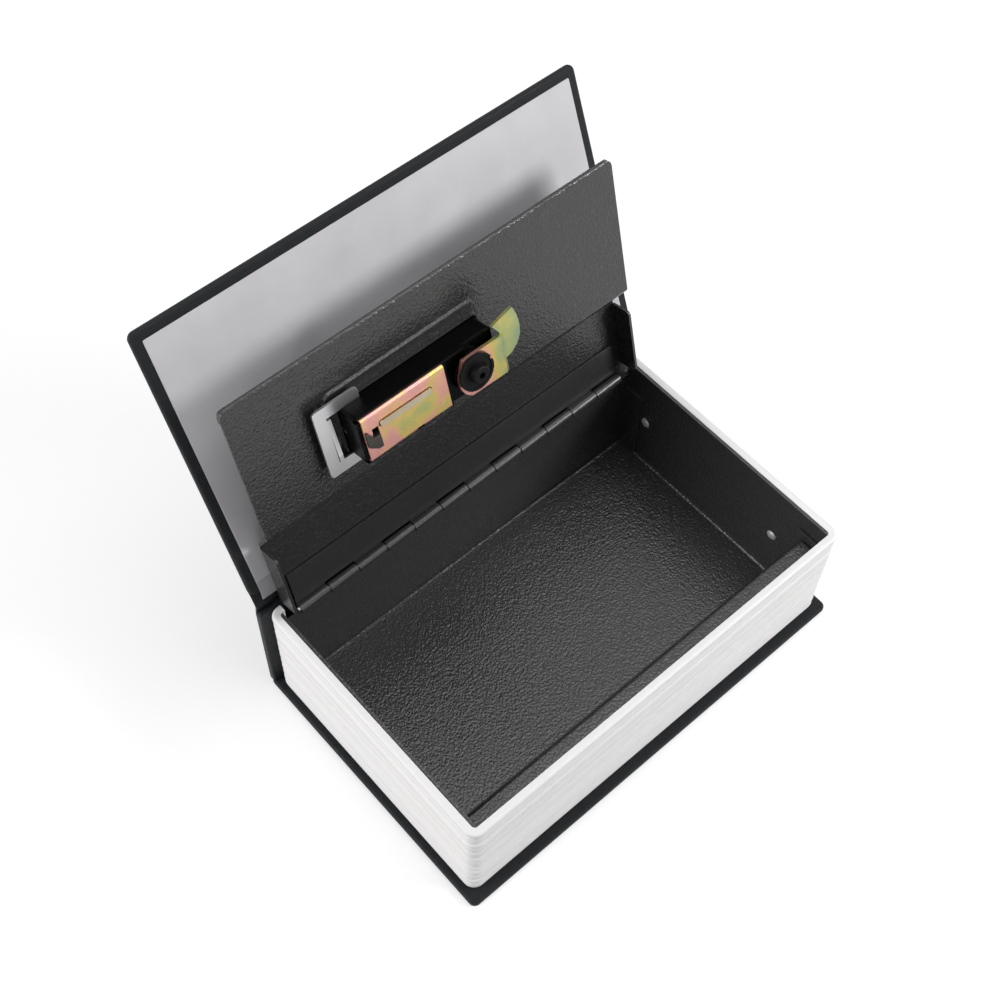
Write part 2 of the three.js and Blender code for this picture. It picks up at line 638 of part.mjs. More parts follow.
// The lid sheet from its hinge edge over the joggle to the hemmed free edge
function lidSheet() {
  const raised = PANEL_W + SHEET / 2;
  const lowered = PLATE_INNER + SHEET / 2;
  const profile = bentSheet([
    new THREE.Vector2(-LID_REAR, raised),
    new THREE.Vector2(-JOGGLE_START, raised),
    new THREE.Vector2(-JOGGLE_START - JOGGLE_RUN, lowered),
    new THREE.Vector2(-LID_FRONT + SHEET, lowered),
  ], SHEET, BEND);
  const hem = new THREE.Shape();
  hem.moveTo(-LID_FRONT + HEM_W, PLATE_INNER);
  hem.lineTo(-LID_FRONT + HEM_W, PLATE_INNER + 2 * SHEET);
  hem.lineTo(-LID_FRONT + SHEET, PLATE_INNER + 2 * SHEET);
  hem.absarc(-LID_FRONT + SHEET, PLATE_INNER + SHEET, SHEET, Math.PI / 2, Math.PI * 1.5, false);
  hem.closePath();
  return join(drawAlongX(profile, -LID_HALF_W, LID_HALF_W), drawAlongX(hem, -LID_HALF_W, LID_HALF_W));
}

// The end flange that closes the side of the raised rear panel
function lidEar(side) {
  const length = EAR_END - EAR_START;
  const height = PANEL_W + SHEET / 2 - PLATE_INNER;
  const outline = roundedRectangle(length / 2, height / 2, EAR_CORNER,
    -(EAR_START + EAR_END) / 2, (PANEL_W + SHEET / 2 + PLATE_INNER) / 2);
  const outer = side * LID_HALF_W;
  const inner = side * (LID_HALF_W - SHEET);
  return drawAlongX(outline, Math.min(outer, inner), Math.max(outer, inner));
}

// A shallow pressed boss round the lock, hollow on the outer side, with a drawn rim at its mouth
function lidBoss() {
  const left = CASE_LEFT - BOSS_LEFT;
  const right = CASE_RIGHT + BOSS_RIGHT;
  const halfX = (right - left) / 2;
  const halfY = CASE_HALF_W + BOSS_MARGIN;
  const middle = (left + right) / 2;
  const formed = loftedRectangle(halfX, halfY, BOSS_CORNER, middle, CASE_Y, [
    { z: PLATE_INNER - BOSS_RISE, inset: BOSS_SLOPE },
    { z: PLATE_INNER, inset: 0 },
    { z: PLATE_OUTER - GLUE_GAP, inset: 0 },
  ]);
  const hollow = loftedRectangle(halfX - SHEET / 2, halfY - SHEET / 2, BOSS_CORNER, middle, CASE_Y, [
    { z: BOSS_FLOOR, inset: BOSS_SLOPE },
    { z: PLATE_OUTER, inset: 0 },
    { z: PLATE_OUTER + SHEET, inset: 0 },
  ]);
  const rimTop = PLATE_INNER - BOSS_RISE;
  const rim = raise(roundedRectangle(CASE_L / 2 + GAP + MOUTH_RIM_T, MOUTH_HALF + MOUTH_RIM_T,
    CASE_CORNER + MOUTH_RIM_T, CASE_X, CASE_Y), rimTop - MOUTH_RIM_H, rimTop + SHEET / 2);
  return { formed: join(formed, rim), hollow };
}

function lidPanel() {
  const boss = lidBoss();
  const whole = join(lidSheet(), lidEar(-1), lidEar(1), boss.formed);
  const middle = -(LID_REAR + LID_FRONT) / 2;
  const reach = 2 * PLATE_DROP;
  const plan = raise(roundedRectangle(LID_HALF_W, (LID_FRONT - LID_REAR) / 2, LID_CORNER, 0, middle),
    -reach, reach);
  const top = PANEL_W + SHEET;
  const section = drawAlongY(roundedRectangle(LID_HALF_W, reach, LID_EDGE_ROUND, 0, top - reach),
    -LID_FRONT - PASS, 0);
  const mouth = raise(roundedRectangle(CASE_L / 2 + GAP, MOUTH_HALF, CASE_CORNER, CASE_X, CASE_Y),
    -reach, PANEL_W);
  return cut(whole.intersect(plan).intersect(section), boss.hollow, mouth);
}

function wheelPlaces() {
  return Array.from({ length: WHEELS }, (_, i) => WHEEL_X + (i - (WHEELS - 1) / 2) * WHEEL_PITCH);
}

// What is cut away round the spindle, which leaves a rib along the case's free side
function caseStep() {
  const free = CASE_Y - CASE_HALF_W;
  const z0 = CASE_BOTTOM - PASS;
  const deck = CASE_BOTTOM + CASE_STEP;
  const end = CASE_RIGHT + PASS;
  const ribStart = COVER_PLATE_RIGHT + GAP + CASE_RIB_T;
  return join(
    block(ribStart, end, free + CASE_RIB_T, CASE_Y + CASE_HALF_W + PASS, z0, deck),
    block(CASE_RIGHT - CASE_RIB_END, end, free - PASS, free + 2 * CASE_RIB_T, z0, deck),
  );
}

// Moulded case: bezel in the boss, wheel chamber, spindle bore, rebates and clip grooves
function lockCase() {
  const bezel = loftedRectangle(CASE_L / 2 + BEZEL_LIP, CASE_HALF_W + BEZEL_LIP,
    CASE_CORNER + BEZEL_LIP, CASE_X, CASE_Y, [
      { z: BEZEL_BOTTOM, inset: 0 },
      { z: BEZEL_TOP - BEZEL_ROUND, inset: 0 },
      { z: BEZEL_TOP, inset: BEZEL_ROUND },
    ]);
  const core = cut(raise(roundedRectangle(CASE_L / 2, CASE_HALF_W, CASE_CORNER, CASE_X, CASE_Y),
    CASE_BOTTOM, BEZEL_BOTTOM + CORE_LAP), caseStep());
  const collarEnd = CASE_BOTTOM - COLLAR_H;
  const collar = rod(COLLAR_R, PIVOT_X, -LOCK_U, collarEnd, CASE_BOTTOM + CASE_STEP + PASS);
  const below = CASE_BOTTOM - PASS;
  const above = BEZEL_TOP + PASS;
  const chamber = block(CHAMBER_LEFT, CHAMBER_RIGHT, -LOCK_U - CHAMBER_HALF, -LOCK_U + CHAMBER_HALF,
    below, BEZEL_TOP - CASE_SKIN);
  const rim = BEZEL_TOP - CASE_SKIN - WHEEL_AXIS;
  const windowHalf = Math.sqrt(WHEEL_R ** 2 - rim ** 2) + GAP;
  const windows = wheelPlaces().map((x) => block(x - WHEEL_W / 2 - GAP, x + WHEEL_W / 2 + GAP,
    -LOCK_U - windowHalf, -LOCK_U + windowHalf, WHEEL_AXIS, above));
  const shaftHole = barAlongX(SHAFT_R + SHAFT_PLAY, -LOCK_U, WHEEL_AXIS, CASE_LEFT - PASS,
    CHAMBER_RIGHT + SHAFT_SEAT);
  const bore = rod(SPINDLE_R + GAP, PIVOT_X, -LOCK_U, collarEnd - PASS, above);
  const rebateTop = COVER_PLATE_BOTTOM + PLATE_FLANGE + GAP;
  const rebates = [-1, 1].map((side) => blockAcross(CASE_LEFT - PASS, COVER_PLATE_RIGHT + GAP,
    -LOCK_U + side * REBATE_HALF, -LOCK_U + side * (PLATE_HALF_W + GAP), below, rebateTop));
  const grooves = [-1, 1].map((side) => blockAcross(CASE_LEFT - PASS, CASE_LEFT + CLIP_ARM_L + GAP,
    CASE_Y + side * (CASE_HALF_W - CLIP_GROOVE), CASE_Y + side * (CASE_HALF_W + PASS),
    CLIP_BOTTOM - GAP, CLIP_TOP + GAP));
  return cut(join(bezel, core, collar), chamber, ...windows, shaftHole, bore, ...rebates, ...grooves);
}

// One dial wheel with a flat and a notch for each digit, turning on the shaft
function dialWheel(x) {
  const points = [];
  for (let i = 0; i < WHEEL_DIGITS; i += 1) {
    const at = (turn, radius) => {
      const angle = 2 * Math.PI * (i + turn) / WHEEL_DIGITS;
      const y = -LOCK_U + radius * Math.cos(angle);
      points.push(new THREE.Vector2(y, WHEEL_AXIS + radius * Math.sin(angle)));
    };
    at(WHEEL_FLAT_START, WHEEL_R);
    at(1 / 2, WHEEL_R);
    at(1 - WHEEL_FLAT_START, WHEEL_R);
    at(1, WHEEL_R - WHEEL_NOTCH);
  }
  const shape = new THREE.Shape(points);
  const bore = new THREE.Path();
  bore.absarc(-LOCK_U, WHEEL_AXIS, SHAFT_R + SHAFT_PLAY, 0, 2 * Math.PI, false);
  shape.holes.push(bore);
  return drawAlongX(shape, x - WHEEL_W / 2, x + WHEEL_W / 2, 6);
}

function wheelShaft() {
  return barAlongX(SHAFT_R, -LOCK_U, WHEEL_AXIS, CASE_LEFT + GAP, CHAMBER_RIGHT + SHAFT_SEAT - GAP, 12);
}

// Spring strip under the wheels: three fingers press on them, and its rib shows in the plate's slot
function detentSpring() {
  const top = CASE_BOTTOM + GAP + DETENT_T;
  const edge = -LOCK_U - CHAMBER_HALF + GAP;
  const left = leverSeat().right + 3 * GAP;
  const strip = block(left, CHAMBER_RIGHT - GAP, edge, edge + DETENT_W, CASE_BOTTOM + GAP, top);
  const reach = WHEEL_AXIS - WHEEL_R - GAP;
  const fingers = wheelPlaces().map((x) => {
    const line = bentSheet([
      new THREE.Vector2(edge + DETENT_W - FINGER_ROOT, top - DETENT_T / 2),
      new THREE.Vector2(edge + DETENT_W + FINGER_FLAT, top - DETENT_T / 2),
      new THREE.Vector2(-LOCK_U, reach - DETENT_T),
    ], DETENT_T, DETENT_T / 2);
    return drawAlongX(line, x - WHEEL_W / 4, x + WHEEL_W / 4);
  });
  const rib = barOutline(0);
  return join(strip, raise(rib, COVER_PLATE_BOTTOM - BAR_PROUD, top), ...fingers);
}

// The rounded bar in the plate's slot, widened by a margin all round
function barOutline(margin) {
  const halfW = DETENT_BAR_W / 2 + margin;
  const corner = halfW - GLUE_GAP;
  return roundedRectangle(DETENT_BAR_L / 2 + margin, halfW, corner, WHEEL_X, -LOCK_U - SLOT_SHIFT);
}

// Yellow zinc cover of the wheel chamber, its long edges folded towards the case
function lockCoverPlate() {
  const middle = COVER_PLATE_TOP - PLATE_T / 2;
  const half = PLATE_HALF_W - PLATE_T / 2;
  const profile = bentSheet([
    new THREE.Vector2(-LOCK_U - half, COVER_PLATE_BOTTOM + PLATE_FLANGE),
    new THREE.Vector2(-LOCK_U - half, middle),
    new THREE.Vector2(-LOCK_U + half, middle),
    new THREE.Vector2(-LOCK_U + half, COVER_PLATE_BOTTOM + PLATE_FLANGE),
  ], PLATE_T, PLATE_T / 4);
  const plate = drawAlongX(profile, COVER_PLATE_LEFT, COVER_PLATE_RIGHT);
  const below = COVER_PLATE_BOTTOM - PASS;
  const above = COVER_PLATE_TOP + GLUE_GAP;
  const edge = -LOCK_U + PLATE_HALF_W;
  const notchLeft = WHEEL_X + PLATE_NOTCH_X;
  const notch = block(notchLeft, notchLeft + PLATE_NOTCH_W, edge - PLATE_NOTCH_DEPTH, edge + PASS,
    below, COVER_PLATE_TOP + PLATE_FLANGE);
  return cut(plate, raise(barOutline(GAP), below, above), leverWindow(below, above), notch);
}

// Where the code lever's stem stands, in X and Y of the shut lid
function leverSeat() {
  const left = COVER_PLATE_LEFT + LEVER_INSET;
  const rear = -LOCK_U + LEVER_REAR;
  return { left, right: left + LEVER_W, front: rear - LEVER_L, rear };
}

// The room that the lever needs for its travel, which is away from the hinge
function leverWindow(z0, z1) {
  const { left, right, front, rear } = leverSeat();
  return block(left - GAP, right + GAP, front - LEVER_TRAVEL - GAP, rear + GAP, z0, z1);
}

// The small lever that frees the wheels to set a new code: a stem in the plate's window, a foot
// that keeps it there, and a hooked finger plate that slides over the cover plate
function codeLever() {
  const { left, right, front, rear } = leverSeat();
  const floor = COVER_PLATE_BOTTOM - GAP;
  const root = COVER_PLATE_TOP + GAP;
  const stem = block(left, right, front, rear, floor - LEVER_TOP_T, root + LEVER_FOOT_H);
  const foot = block(left - 2 * GAP, right + 2 * GAP, front, rear, root, root + LEVER_FOOT_H);
  const edge = COVER_PLATE_LEFT;
  const finger = new THREE.Shape([
    new THREE.Vector2(edge, rear - LEVER_L / 2),
    new THREE.Vector2(edge, front - LEVER_HOOK_L),
    new THREE.Vector2(edge + LEVER_HOOK_W, front - LEVER_HOOK_L),
    new THREE.Vector2(edge + 2 * LEVER_HOOK_W, front),
    new THREE.Vector2(right, front),
    new THREE.Vector2(right, rear),
    new THREE.Vector2(left, rear),
  ].reverse());
  return join(stem, foot, raise(finger, floor - LEVER_TOP_T, floor));
}

// A C of spring steel slid onto the case from its end, with a sprung tongue inside the C
function retainingClip() {
  const left = CASE_LEFT - CLIP_REACH;
  const right = CASE_LEFT + CLIP_ARM_L;
  const inner = CASE_HALF_W - CLIP_GROOVE + GAP;
  const plate = raise(roundedRectangle((right - left) / 2, CLIP_H / 2, CLIP_CORNER, (left + right) / 2,
    CASE_Y), CLIP_BOTTOM, CLIP_TOP);
  const throat = block(left + CLIP_SPINE, right + PASS, CASE_Y - inner, CASE_Y + inner,
    CLIP_BOTTOM - PASS, CLIP_TOP + PASS);
  const tongueLeft = left + CLIP_SPINE + GAP;
  const middle = CLIP_TOP - CLIP_T / 2;
  const tongue = bentSheet([
    new THREE.Vector2(CASE_Y + inner + PASS, middle),
    new THREE.Vector2(CASE_Y + inner - TONGUE_SHORT, middle),
    new THREE.Vector2(CASE_Y - inner + TONGUE_SHORT, middle + TONGUE_LIFT),
  ], CLIP_T, CLIP_T / 2);
  return join(cut(plate, throat), drawAlongX(tongue, tongueLeft, tongueLeft + TONGUE_W));
}

// Spindle: shoulder in the case's bore, square drive for the cam, and a tip inside the nut
function spindle() {
  const shoulder = rod(SPINDLE_R, PIVOT_X, -LOCK_U, CAM_TOP + GAP / 2, BEZEL_TOP - GAP);
  const drive = block(PIVOT_X - DRIVE_HALF, PIVOT_X + DRIVE_HALF, -LOCK_U - DRIVE_HALF, -LOCK_U + DRIVE_HALF,
    CAM_BOTTOM, CAM_TOP + PASS);
  const tip = rod(SPINDLE_TIP_R, PIVOT_X, -LOCK_U, NUT_BOTTOM + TIP_RECESS, CAM_BOTTOM + CAM_T / 2, 16);
  const neck = rod(DRIVE_HALF, PIVOT_X, -LOCK_U, BEZEL_TOP - PASS, BEZEL_TOP + KNOB_BASE_H, 16);
  return join(shoulder, drive, tip, neck);
}

// Round knob on the outer side with a raised finger grip
function turnKnob() {
  const foot = BEZEL_TOP + GAP;
  const top = foot + KNOB_H;
  const base = turned([[0, foot], [KNOB_R, foot], [KNOB_R, foot + KNOB_BASE_H - KNOB_EDGE],
    [KNOB_R - KNOB_EDGE, foot + KNOB_BASE_H], [0, foot + KNOB_BASE_H]], PIVOT_X, -LOCK_U, 24);
  const grip = loftedRectangle(KNOB_R - KNOB_GRIP_INSET, KNOB_GRIP_W / 2, KNOB_GRIP_W / 2 - GLUE_GAP,
    PIVOT_X, -LOCK_U, [
      { z: foot + KNOB_BASE_H / 2, inset: 0 },
      { z: top - 2 * KNOB_EDGE, inset: KNOB_EDGE / 2 },
      { z: top, inset: 2 * KNOB_EDGE },
    ], 3);
  const socket = rod(DRIVE_HALF + GAP, PIVOT_X, -LOCK_U, foot - PASS, BEZEL_TOP + KNOB_BASE_H + GAP, 16);
  return cut(join(base, grip), socket);
}

// Cam of two plates: a rounded lever on the drive and a hook that is stepped towards the lid. The
// outlines are drawn with Y towards the free edge and then turned over
function cam() {
  const degrees = Math.PI / 180;
  const lever = new THREE.Shape();
  lever.moveTo(CAM_ARM, -CAM_AFT);
  lever.lineTo(CAM_ARM, CAM_FORE);
  lever.lineTo(-CAM_HEEL, CAM_FORE);
  lever.absarc(CAM_RING_X, CAM_RING_Y, CAM_RING_R, CAM_RING_START * degrees, CAM_RING_END * degrees,
    false);
  lever.closePath();
  const hook = new THREE.Shape();
  hook.moveTo(CAM_ARM, -HOOK_ROOT);
  hook.quadraticCurveTo(HOOK_REACH, -HOOK_BELLY_START, HOOK_REACH, HOOK_BELLY);
  hook.quadraticCurveTo(HOOK_REACH, HOOK_SHOULDER, HOOK_TIP.x, HOOK_TIP.y);
  hook.lineTo(HOOK_HEEL.x, HOOK_HEEL.y);
  hook.lineTo(CAM_ARM + CAM_STEP_RUN, CAM_FORE - CAM_STEP);
  hook.lineTo(CAM_ARM, CAM_FORE - CAM_STEP);
  hook.closePath();
  const slope = drawAlongY(new THREE.Shape([
    new THREE.Vector2(CAM_ARM - CAM_STEP, CAM_BOTTOM),
    new THREE.Vector2(CAM_ARM, CAM_BOTTOM),
    new THREE.Vector2(CAM_ARM + CAM_STEP_RUN, CAM_BOTTOM + CAM_STEP),
    new THREE.Vector2(CAM_ARM + CAM_STEP_RUN, CAM_TOP + CAM_STEP),
    new THREE.Vector2(CAM_ARM, CAM_TOP),
    new THREE.Vector2(CAM_ARM - CAM_STEP, CAM_TOP),
  ]), -CAM_AFT, CAM_FORE);
  const hole = DRIVE_HALF + GAP;
  const stamped = cut(join(raise(lever, CAM_BOTTOM, CAM_TOP, 4), slope,
    raise(hook, CAM_BOTTOM + CAM_STEP, CAM_TOP + CAM_STEP, 4)),
  block(-hole, hole, -hole, hole, CAM_BOTTOM - PASS, CAM_TOP + PASS));
  return stamped.scale([1, -1, 1]).translate([PIVOT_X, -LOCK_U, 0]);
}

// Nut with a dished flange on the cam, notched once, and a chamfered hub with a lug beside it
function camNut() {
  const rimBottom = NUT_TOP - NUT_FLANGE_H;
  const dish = rimBottom + NUT_DISH_H;
  const bore = SPINDLE_TIP_R + GAP;
  const body = turned([[bore, NUT_BOTTOM], [NUT_HUB_R - NUT_CHAMFER, NUT_BOTTOM],
    [NUT_HUB_R, NUT_BOTTOM + NUT_CHAMFER], [NUT_HUB_R, dish], [NUT_R - NUT_RIM_W, dish],
    [NUT_R - NUT_RIM_W, rimBottom], [NUT_R, rimBottom], [NUT_R, NUT_TOP], [bore, NUT_TOP],
    [bore, NUT_BOTTOM]], PIVOT_X, -LOCK_U, 24);
  const turn = NUT_NOTCH_TURN * Math.PI / 180;
  const post = (radius, distance, z0, z1) => rod(radius, PIVOT_X + distance * Math.cos(turn),
    -LOCK_U + distance * Math.sin(turn), z0, z1, 12);
  const lug = post(NUT_LUG_R, NUT_HUB_R + NUT_LUG_R / 2, dish - NUT_LUG_H, dish + NUT_DISH_H / 2);
  return cut(join(body, lug), post(NUT_NOTCH_R, NUT_R, rimBottom - PASS, NUT_TOP + PASS));
}

// The strip of covering cloth that the front board hangs on
function hingeCloth() {
  return block(-BOARD_W / 2 + GAP, BOARD_W / 2 - GAP, -CLOTH_SPAN, -GAP, -CLOTH_T, 0);
}

function frontBoard() {
  return wrappedBoard(BOARD_W / 2, -BOARD_D, -CLOTH_SPAN - GLUE_GAP, -COVER_T, 0);
}

function frontEndpaper() {
  const top = -COVER_T - GLUE_GAP;
  const half = BOARD_W / 2 - PAPER_MARGIN;
  return block(-half, half, -BOARD_D + PAPER_MARGIN, -CLOTH_SPAN - PAPER_FOOT, top - PAPER_T, top);
}

function hingedGroup(y, z, openDegrees, meshes) {
  const group = new THREE.Group();
  group.position.set(0, y, z);
  group.rotation.x = -THREE.MathUtils.degToRad(openDegrees);
  group.add(...meshes);
  return group;
}

const safe = new THREE.Group();
safe.name = 'book_diversion_safe';
safe.add(
  piece('back_board', backBoard(), 'leatherette'),
  piece('spine_board', spineBoard(), 'leatherette'),
  piece('spine_cloth', spineCloth(), 'leatherette'),
  piece('page_block', pageBlock(), 'page_plastic'),
  piece('cash_tray', cashTray(), 'hammered_paint'),
  piece('front_wall', frontWall(), 'hammered_paint'),
);
rivetSeats().forEach((seat, i) => safe.add(piece(`tray_rivet_${i + 1}`, rivet(seat), 'bright_steel')));
safe.add(hingedGroup(HINGE_Y, HINGE_Z, 0, [
  piece('body_hinge_leaf', hingeLeaf(1, false), 'hammered_paint'),
  piece('hinge_pin', hingePin(), 'bright_steel'),
]));
safe.add(hingedGroup(HINGE_Y, HINGE_Z, LID_OPEN, [
  piece('lid_hinge_leaf', hingeLeaf(0, true), 'hammered_paint'),
  piece('lid_panel', lidPanel(), 'hammered_paint'),
  piece('lock_case', lockCase(), 'black_moulding'),
  ...wheelPlaces().map((x, i) => piece(`dial_wheel_${i + 1}`, dialWheel(x), 'dial_black')),
  piece('wheel_shaft', wheelShaft(), 'bright_steel'),
  piece('detent_spring', detentSpring(), 'grey_metal'),
  piece('lock_cover_plate', lockCoverPlate(), 'yellow_zinc'),
  piece('code_lever', codeLever(), 'grey_metal'),
  piece('retaining_clip', retainingClip(), 'bright_steel'),
  piece('spindle', spindle(), 'grey_metal'),
  piece('turn_knob', turnKnob(), 'black_moulding'),
  piece('cam', cam(), 'yellow_zinc'),
  piece('cam_nut', camNut(), 'black_moulding'),
]));
safe.add(hingedGroup(REAR_Y, COVER_Z, COVER_OPEN, [
  piece('hinge_cloth', hingeCloth(), 'leatherette'),
  piece('front_board', frontBoard(), 'leatherette'),
  piece('front_endpaper', frontEndpaper(), 'endpaper'),
]));

export default safe;
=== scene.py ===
"""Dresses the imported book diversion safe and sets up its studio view.

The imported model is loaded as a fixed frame, in metres, with +Z up and the spine at +Y. Each
sub-assembly is a class that holds its sizes, builds its meshes in the frame's own places and gives
them their finishes. Effects that several finishes share are shader node groups.
"""

import json
import logging
import math
from collections.abc import Callable, Sequence
from dataclasses import dataclass, field
from enum import Enum

import bmesh
import bpy
from mathutils import Matrix, Vector


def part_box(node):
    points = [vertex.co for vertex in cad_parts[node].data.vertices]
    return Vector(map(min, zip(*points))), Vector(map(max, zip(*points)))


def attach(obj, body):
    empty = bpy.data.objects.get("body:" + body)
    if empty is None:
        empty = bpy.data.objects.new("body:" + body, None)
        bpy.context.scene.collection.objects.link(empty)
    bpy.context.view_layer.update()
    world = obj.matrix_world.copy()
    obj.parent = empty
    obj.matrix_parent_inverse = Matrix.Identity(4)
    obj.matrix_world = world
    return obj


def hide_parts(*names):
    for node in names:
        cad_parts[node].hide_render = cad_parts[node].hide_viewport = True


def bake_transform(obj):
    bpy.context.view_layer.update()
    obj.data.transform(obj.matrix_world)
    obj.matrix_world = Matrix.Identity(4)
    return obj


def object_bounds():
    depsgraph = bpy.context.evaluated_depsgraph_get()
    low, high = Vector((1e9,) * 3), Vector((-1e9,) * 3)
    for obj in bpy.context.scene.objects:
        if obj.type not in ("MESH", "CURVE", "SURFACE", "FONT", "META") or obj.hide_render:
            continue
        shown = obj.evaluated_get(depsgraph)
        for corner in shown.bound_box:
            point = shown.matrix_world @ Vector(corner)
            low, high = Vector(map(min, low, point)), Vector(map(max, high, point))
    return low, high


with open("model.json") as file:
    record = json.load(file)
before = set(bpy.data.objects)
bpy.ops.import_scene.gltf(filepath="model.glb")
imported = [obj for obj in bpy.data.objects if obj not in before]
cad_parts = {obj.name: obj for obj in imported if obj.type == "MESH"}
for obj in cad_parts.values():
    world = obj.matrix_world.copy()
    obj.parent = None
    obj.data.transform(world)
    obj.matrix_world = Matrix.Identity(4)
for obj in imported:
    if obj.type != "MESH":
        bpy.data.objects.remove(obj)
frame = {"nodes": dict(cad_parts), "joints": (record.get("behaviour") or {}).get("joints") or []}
CAD_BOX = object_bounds()

LOG = logging.getLogger("book_safe")
MM = 0.001
Colour = tuple[float, float, float]
Point2 = tuple[float, float]


def joint(name: str) -> dict:
    """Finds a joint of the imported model.

    Args:
        name: The joint's name in the record.

    Returns:
        The joint's entry, with its place, axis and range.
    """
    return next(entry for entry in frame["joints"] if entry["name"] == name)


def smooth_step(share: float) -> float:
    """Eases a share of a way, from 0 to 1."""
    return share * share * (3 - 2 * share)


def outward(azimuth: float, elevation: float) -> Vector:
    """Gives the direction from the object to a lamp or a camera.

    Args:
        azimuth: The side that it stands on, in degrees.
        elevation: Its height above the horizon, in degrees.

    Returns:
        The direction, of length 1.
    """
    turn, rise = math.radians(azimuth), math.radians(elevation)
    level = math.cos(rise)
    return Vector((math.sin(turn) * level, -math.cos(turn) * level, math.sin(rise)))


@dataclass(frozen=True)
class HingePlane:
    """A panel that is open about a line along X.

    Attributes:
        y: The hinge line's place across the safe.
        z: The hinge line's height.
        open_angle: How far the panel stands open from shut, in radians.
    """

    y: float
    z: float
    open_angle: float

    @classmethod
    def from_joint(cls, name: str) -> "HingePlane":
        """Reads the line and the open angle of a joint.

        Args:
            name: The joint's name in the record.

        Returns:
            The plane of the panel that the joint carries.
        """
        entry = joint(name)
        _, y, z = entry["pos_m"]
        return cls(y, z, math.radians(entry["range_deg"][1]))

    def at(self, x: float, up: float, out: float = 0.0) -> Vector:
        """Places a point of the panel.

        Args:
            x: Distance along the hinge line.
            up: Distance from the hinge line towards the panel's free edge.
            out: Distance off the panel, towards the side that is on top when it is shut.

        Returns:
            The point in the frame, with the panel open.
        """
        sine, cosine = math.sin(self.open_angle), math.cos(self.open_angle)
        return Vector((x, self.y - up * cosine + out * sine, self.z + up * sine + out * cosine))


# Shader node groups


class NodeTree:
    """Adds and joins nodes in one node tree, from left to right."""

    column_width = 180

    def __init__(self, tree: bpy.types.NodeTree) -> None:
        """Keeps the tree and starts at its left.

        Args:
            tree: The tree of a group or a material.
        """
        self.tree = tree
        self.column = 0

    def add(self, kind: str, settings: dict | None = None, **inputs: object) -> bpy.types.Node:
        """Adds a node.

        Args:
            kind: The node's type, without its prefix.
            settings: Attributes of the node, by name.
            **inputs: Sockets by name, with _ for a space, each a value or an output to link.

        Returns:
            The new node.
        """
        node = self.tree.nodes.new(f"ShaderNode{kind}")
        node.location = (self.column * self.column_width, 0)
        self.column += 1
        for name, value in (settings or {}).items():
            setattr(node, name, value)
        for name, value in inputs.items():
            self.feed(node.inputs[name.replace("_", " ")], value)
        return node

    def feed(self, socket: bpy.types.NodeSocket, value: object) -> None:
        """Links an output to a socket, or sets its value.

        Args:
            socket: The input socket.
            value: An output socket or a plain value.
        """
        if isinstance(value, bpy.types.NodeSocket):
            self.tree.links.new(value, socket)
        else:
            socket.default_value = value

    def math(self, operation: str, first: object, second: object = 0.0) -> bpy.types.NodeSocket:
        """Adds a Math node.

        Args:
            operation: Blender's name of the operation.
            first: The first number or output.
            second: The second number or output.

        Returns:
            The node's output.
        """
        node = self.add("Math", {"operation": operation})
        self.feed(node.inputs[0], first)
        self.feed(node.inputs[1], second)
        return node.outputs[0]

    def stretch(self, position: bpy.types.NodeSocket, scale: object) -> bpy.types.NodeSocket:
        """Multiplies a position by a vector or a number.

        Args:
            position: The output with the position.
            scale: A vector, or an output with a number.

        Returns:
            The scaled position.
        """
        single = isinstance(scale, bpy.types.NodeSocket)
        operation = "SCALE" if single else "MULTIPLY"
        node = self.add("VectorMath", {"operation": operation})
        self.feed(node.inputs[0], position)
        self.feed(node.inputs["Scale"] if single else node.inputs[1], scale)
        return node.outputs[0]

    def seen(self) -> bpy.types.NodeSocket:
        """Gives 1 for what the camera sees directly or in a reflection, and 0 for the light."""
        rays = self.add("LightPath").outputs
        return self.math("MAXIMUM", rays["Is Camera Ray"], rays["Is Glossy Ray"])


class SocketKind(Enum):
    """The kinds of socket that the groups have."""

    NUMBER = "NodeSocketFloat"
    VECTOR = "NodeSocketVector"
    COLOUR = "NodeSocketColor"


class EffectGroup:
    """A shader node group with a position going in and values coming out."""

    name = "effect"
    inputs: dict[str, float] = {}
    outputs: dict[str, SocketKind] = {}

    def __init__(self) -> None:
        """Makes the group's sockets and lets the subclass draw what is between them."""
        self.tree = bpy.data.node_groups.new(self.name, "ShaderNodeTree")
        self.socket("Position", "INPUT", SocketKind.VECTOR)
        for name, value in self.inputs.items():
            self.socket(name, "INPUT", SocketKind.NUMBER).default_value = value
        for name, kind in self.outputs.items():
            self.socket(name, "OUTPUT", kind)
        self.nodes = NodeTree(self.tree)
        self.start = self.tree.nodes.new("NodeGroupInput").outputs
        results = self.draw()
        end = self.tree.nodes.new("NodeGroupOutput").inputs
        for name, result in results.items():
            self.tree.links.new(result, end[name])

    def socket(self, name: str, side: str, kind: SocketKind) -> bpy.types.NodeTreeInterfaceSocket:
        """Adds a socket to the group.

        Args:
            name: The socket's name.
            side: INPUT or OUTPUT.
            kind: The socket's kind.

        Returns:
            The new socket.
        """
        return self.tree.interface.new_socket(name=name, in_out=side, socket_type=kind.value)

    def draw(self) -> dict[str, bpy.types.NodeSocket]:
        """Draws the group's inside and gives its results by name."""
        raise NotImplementedError


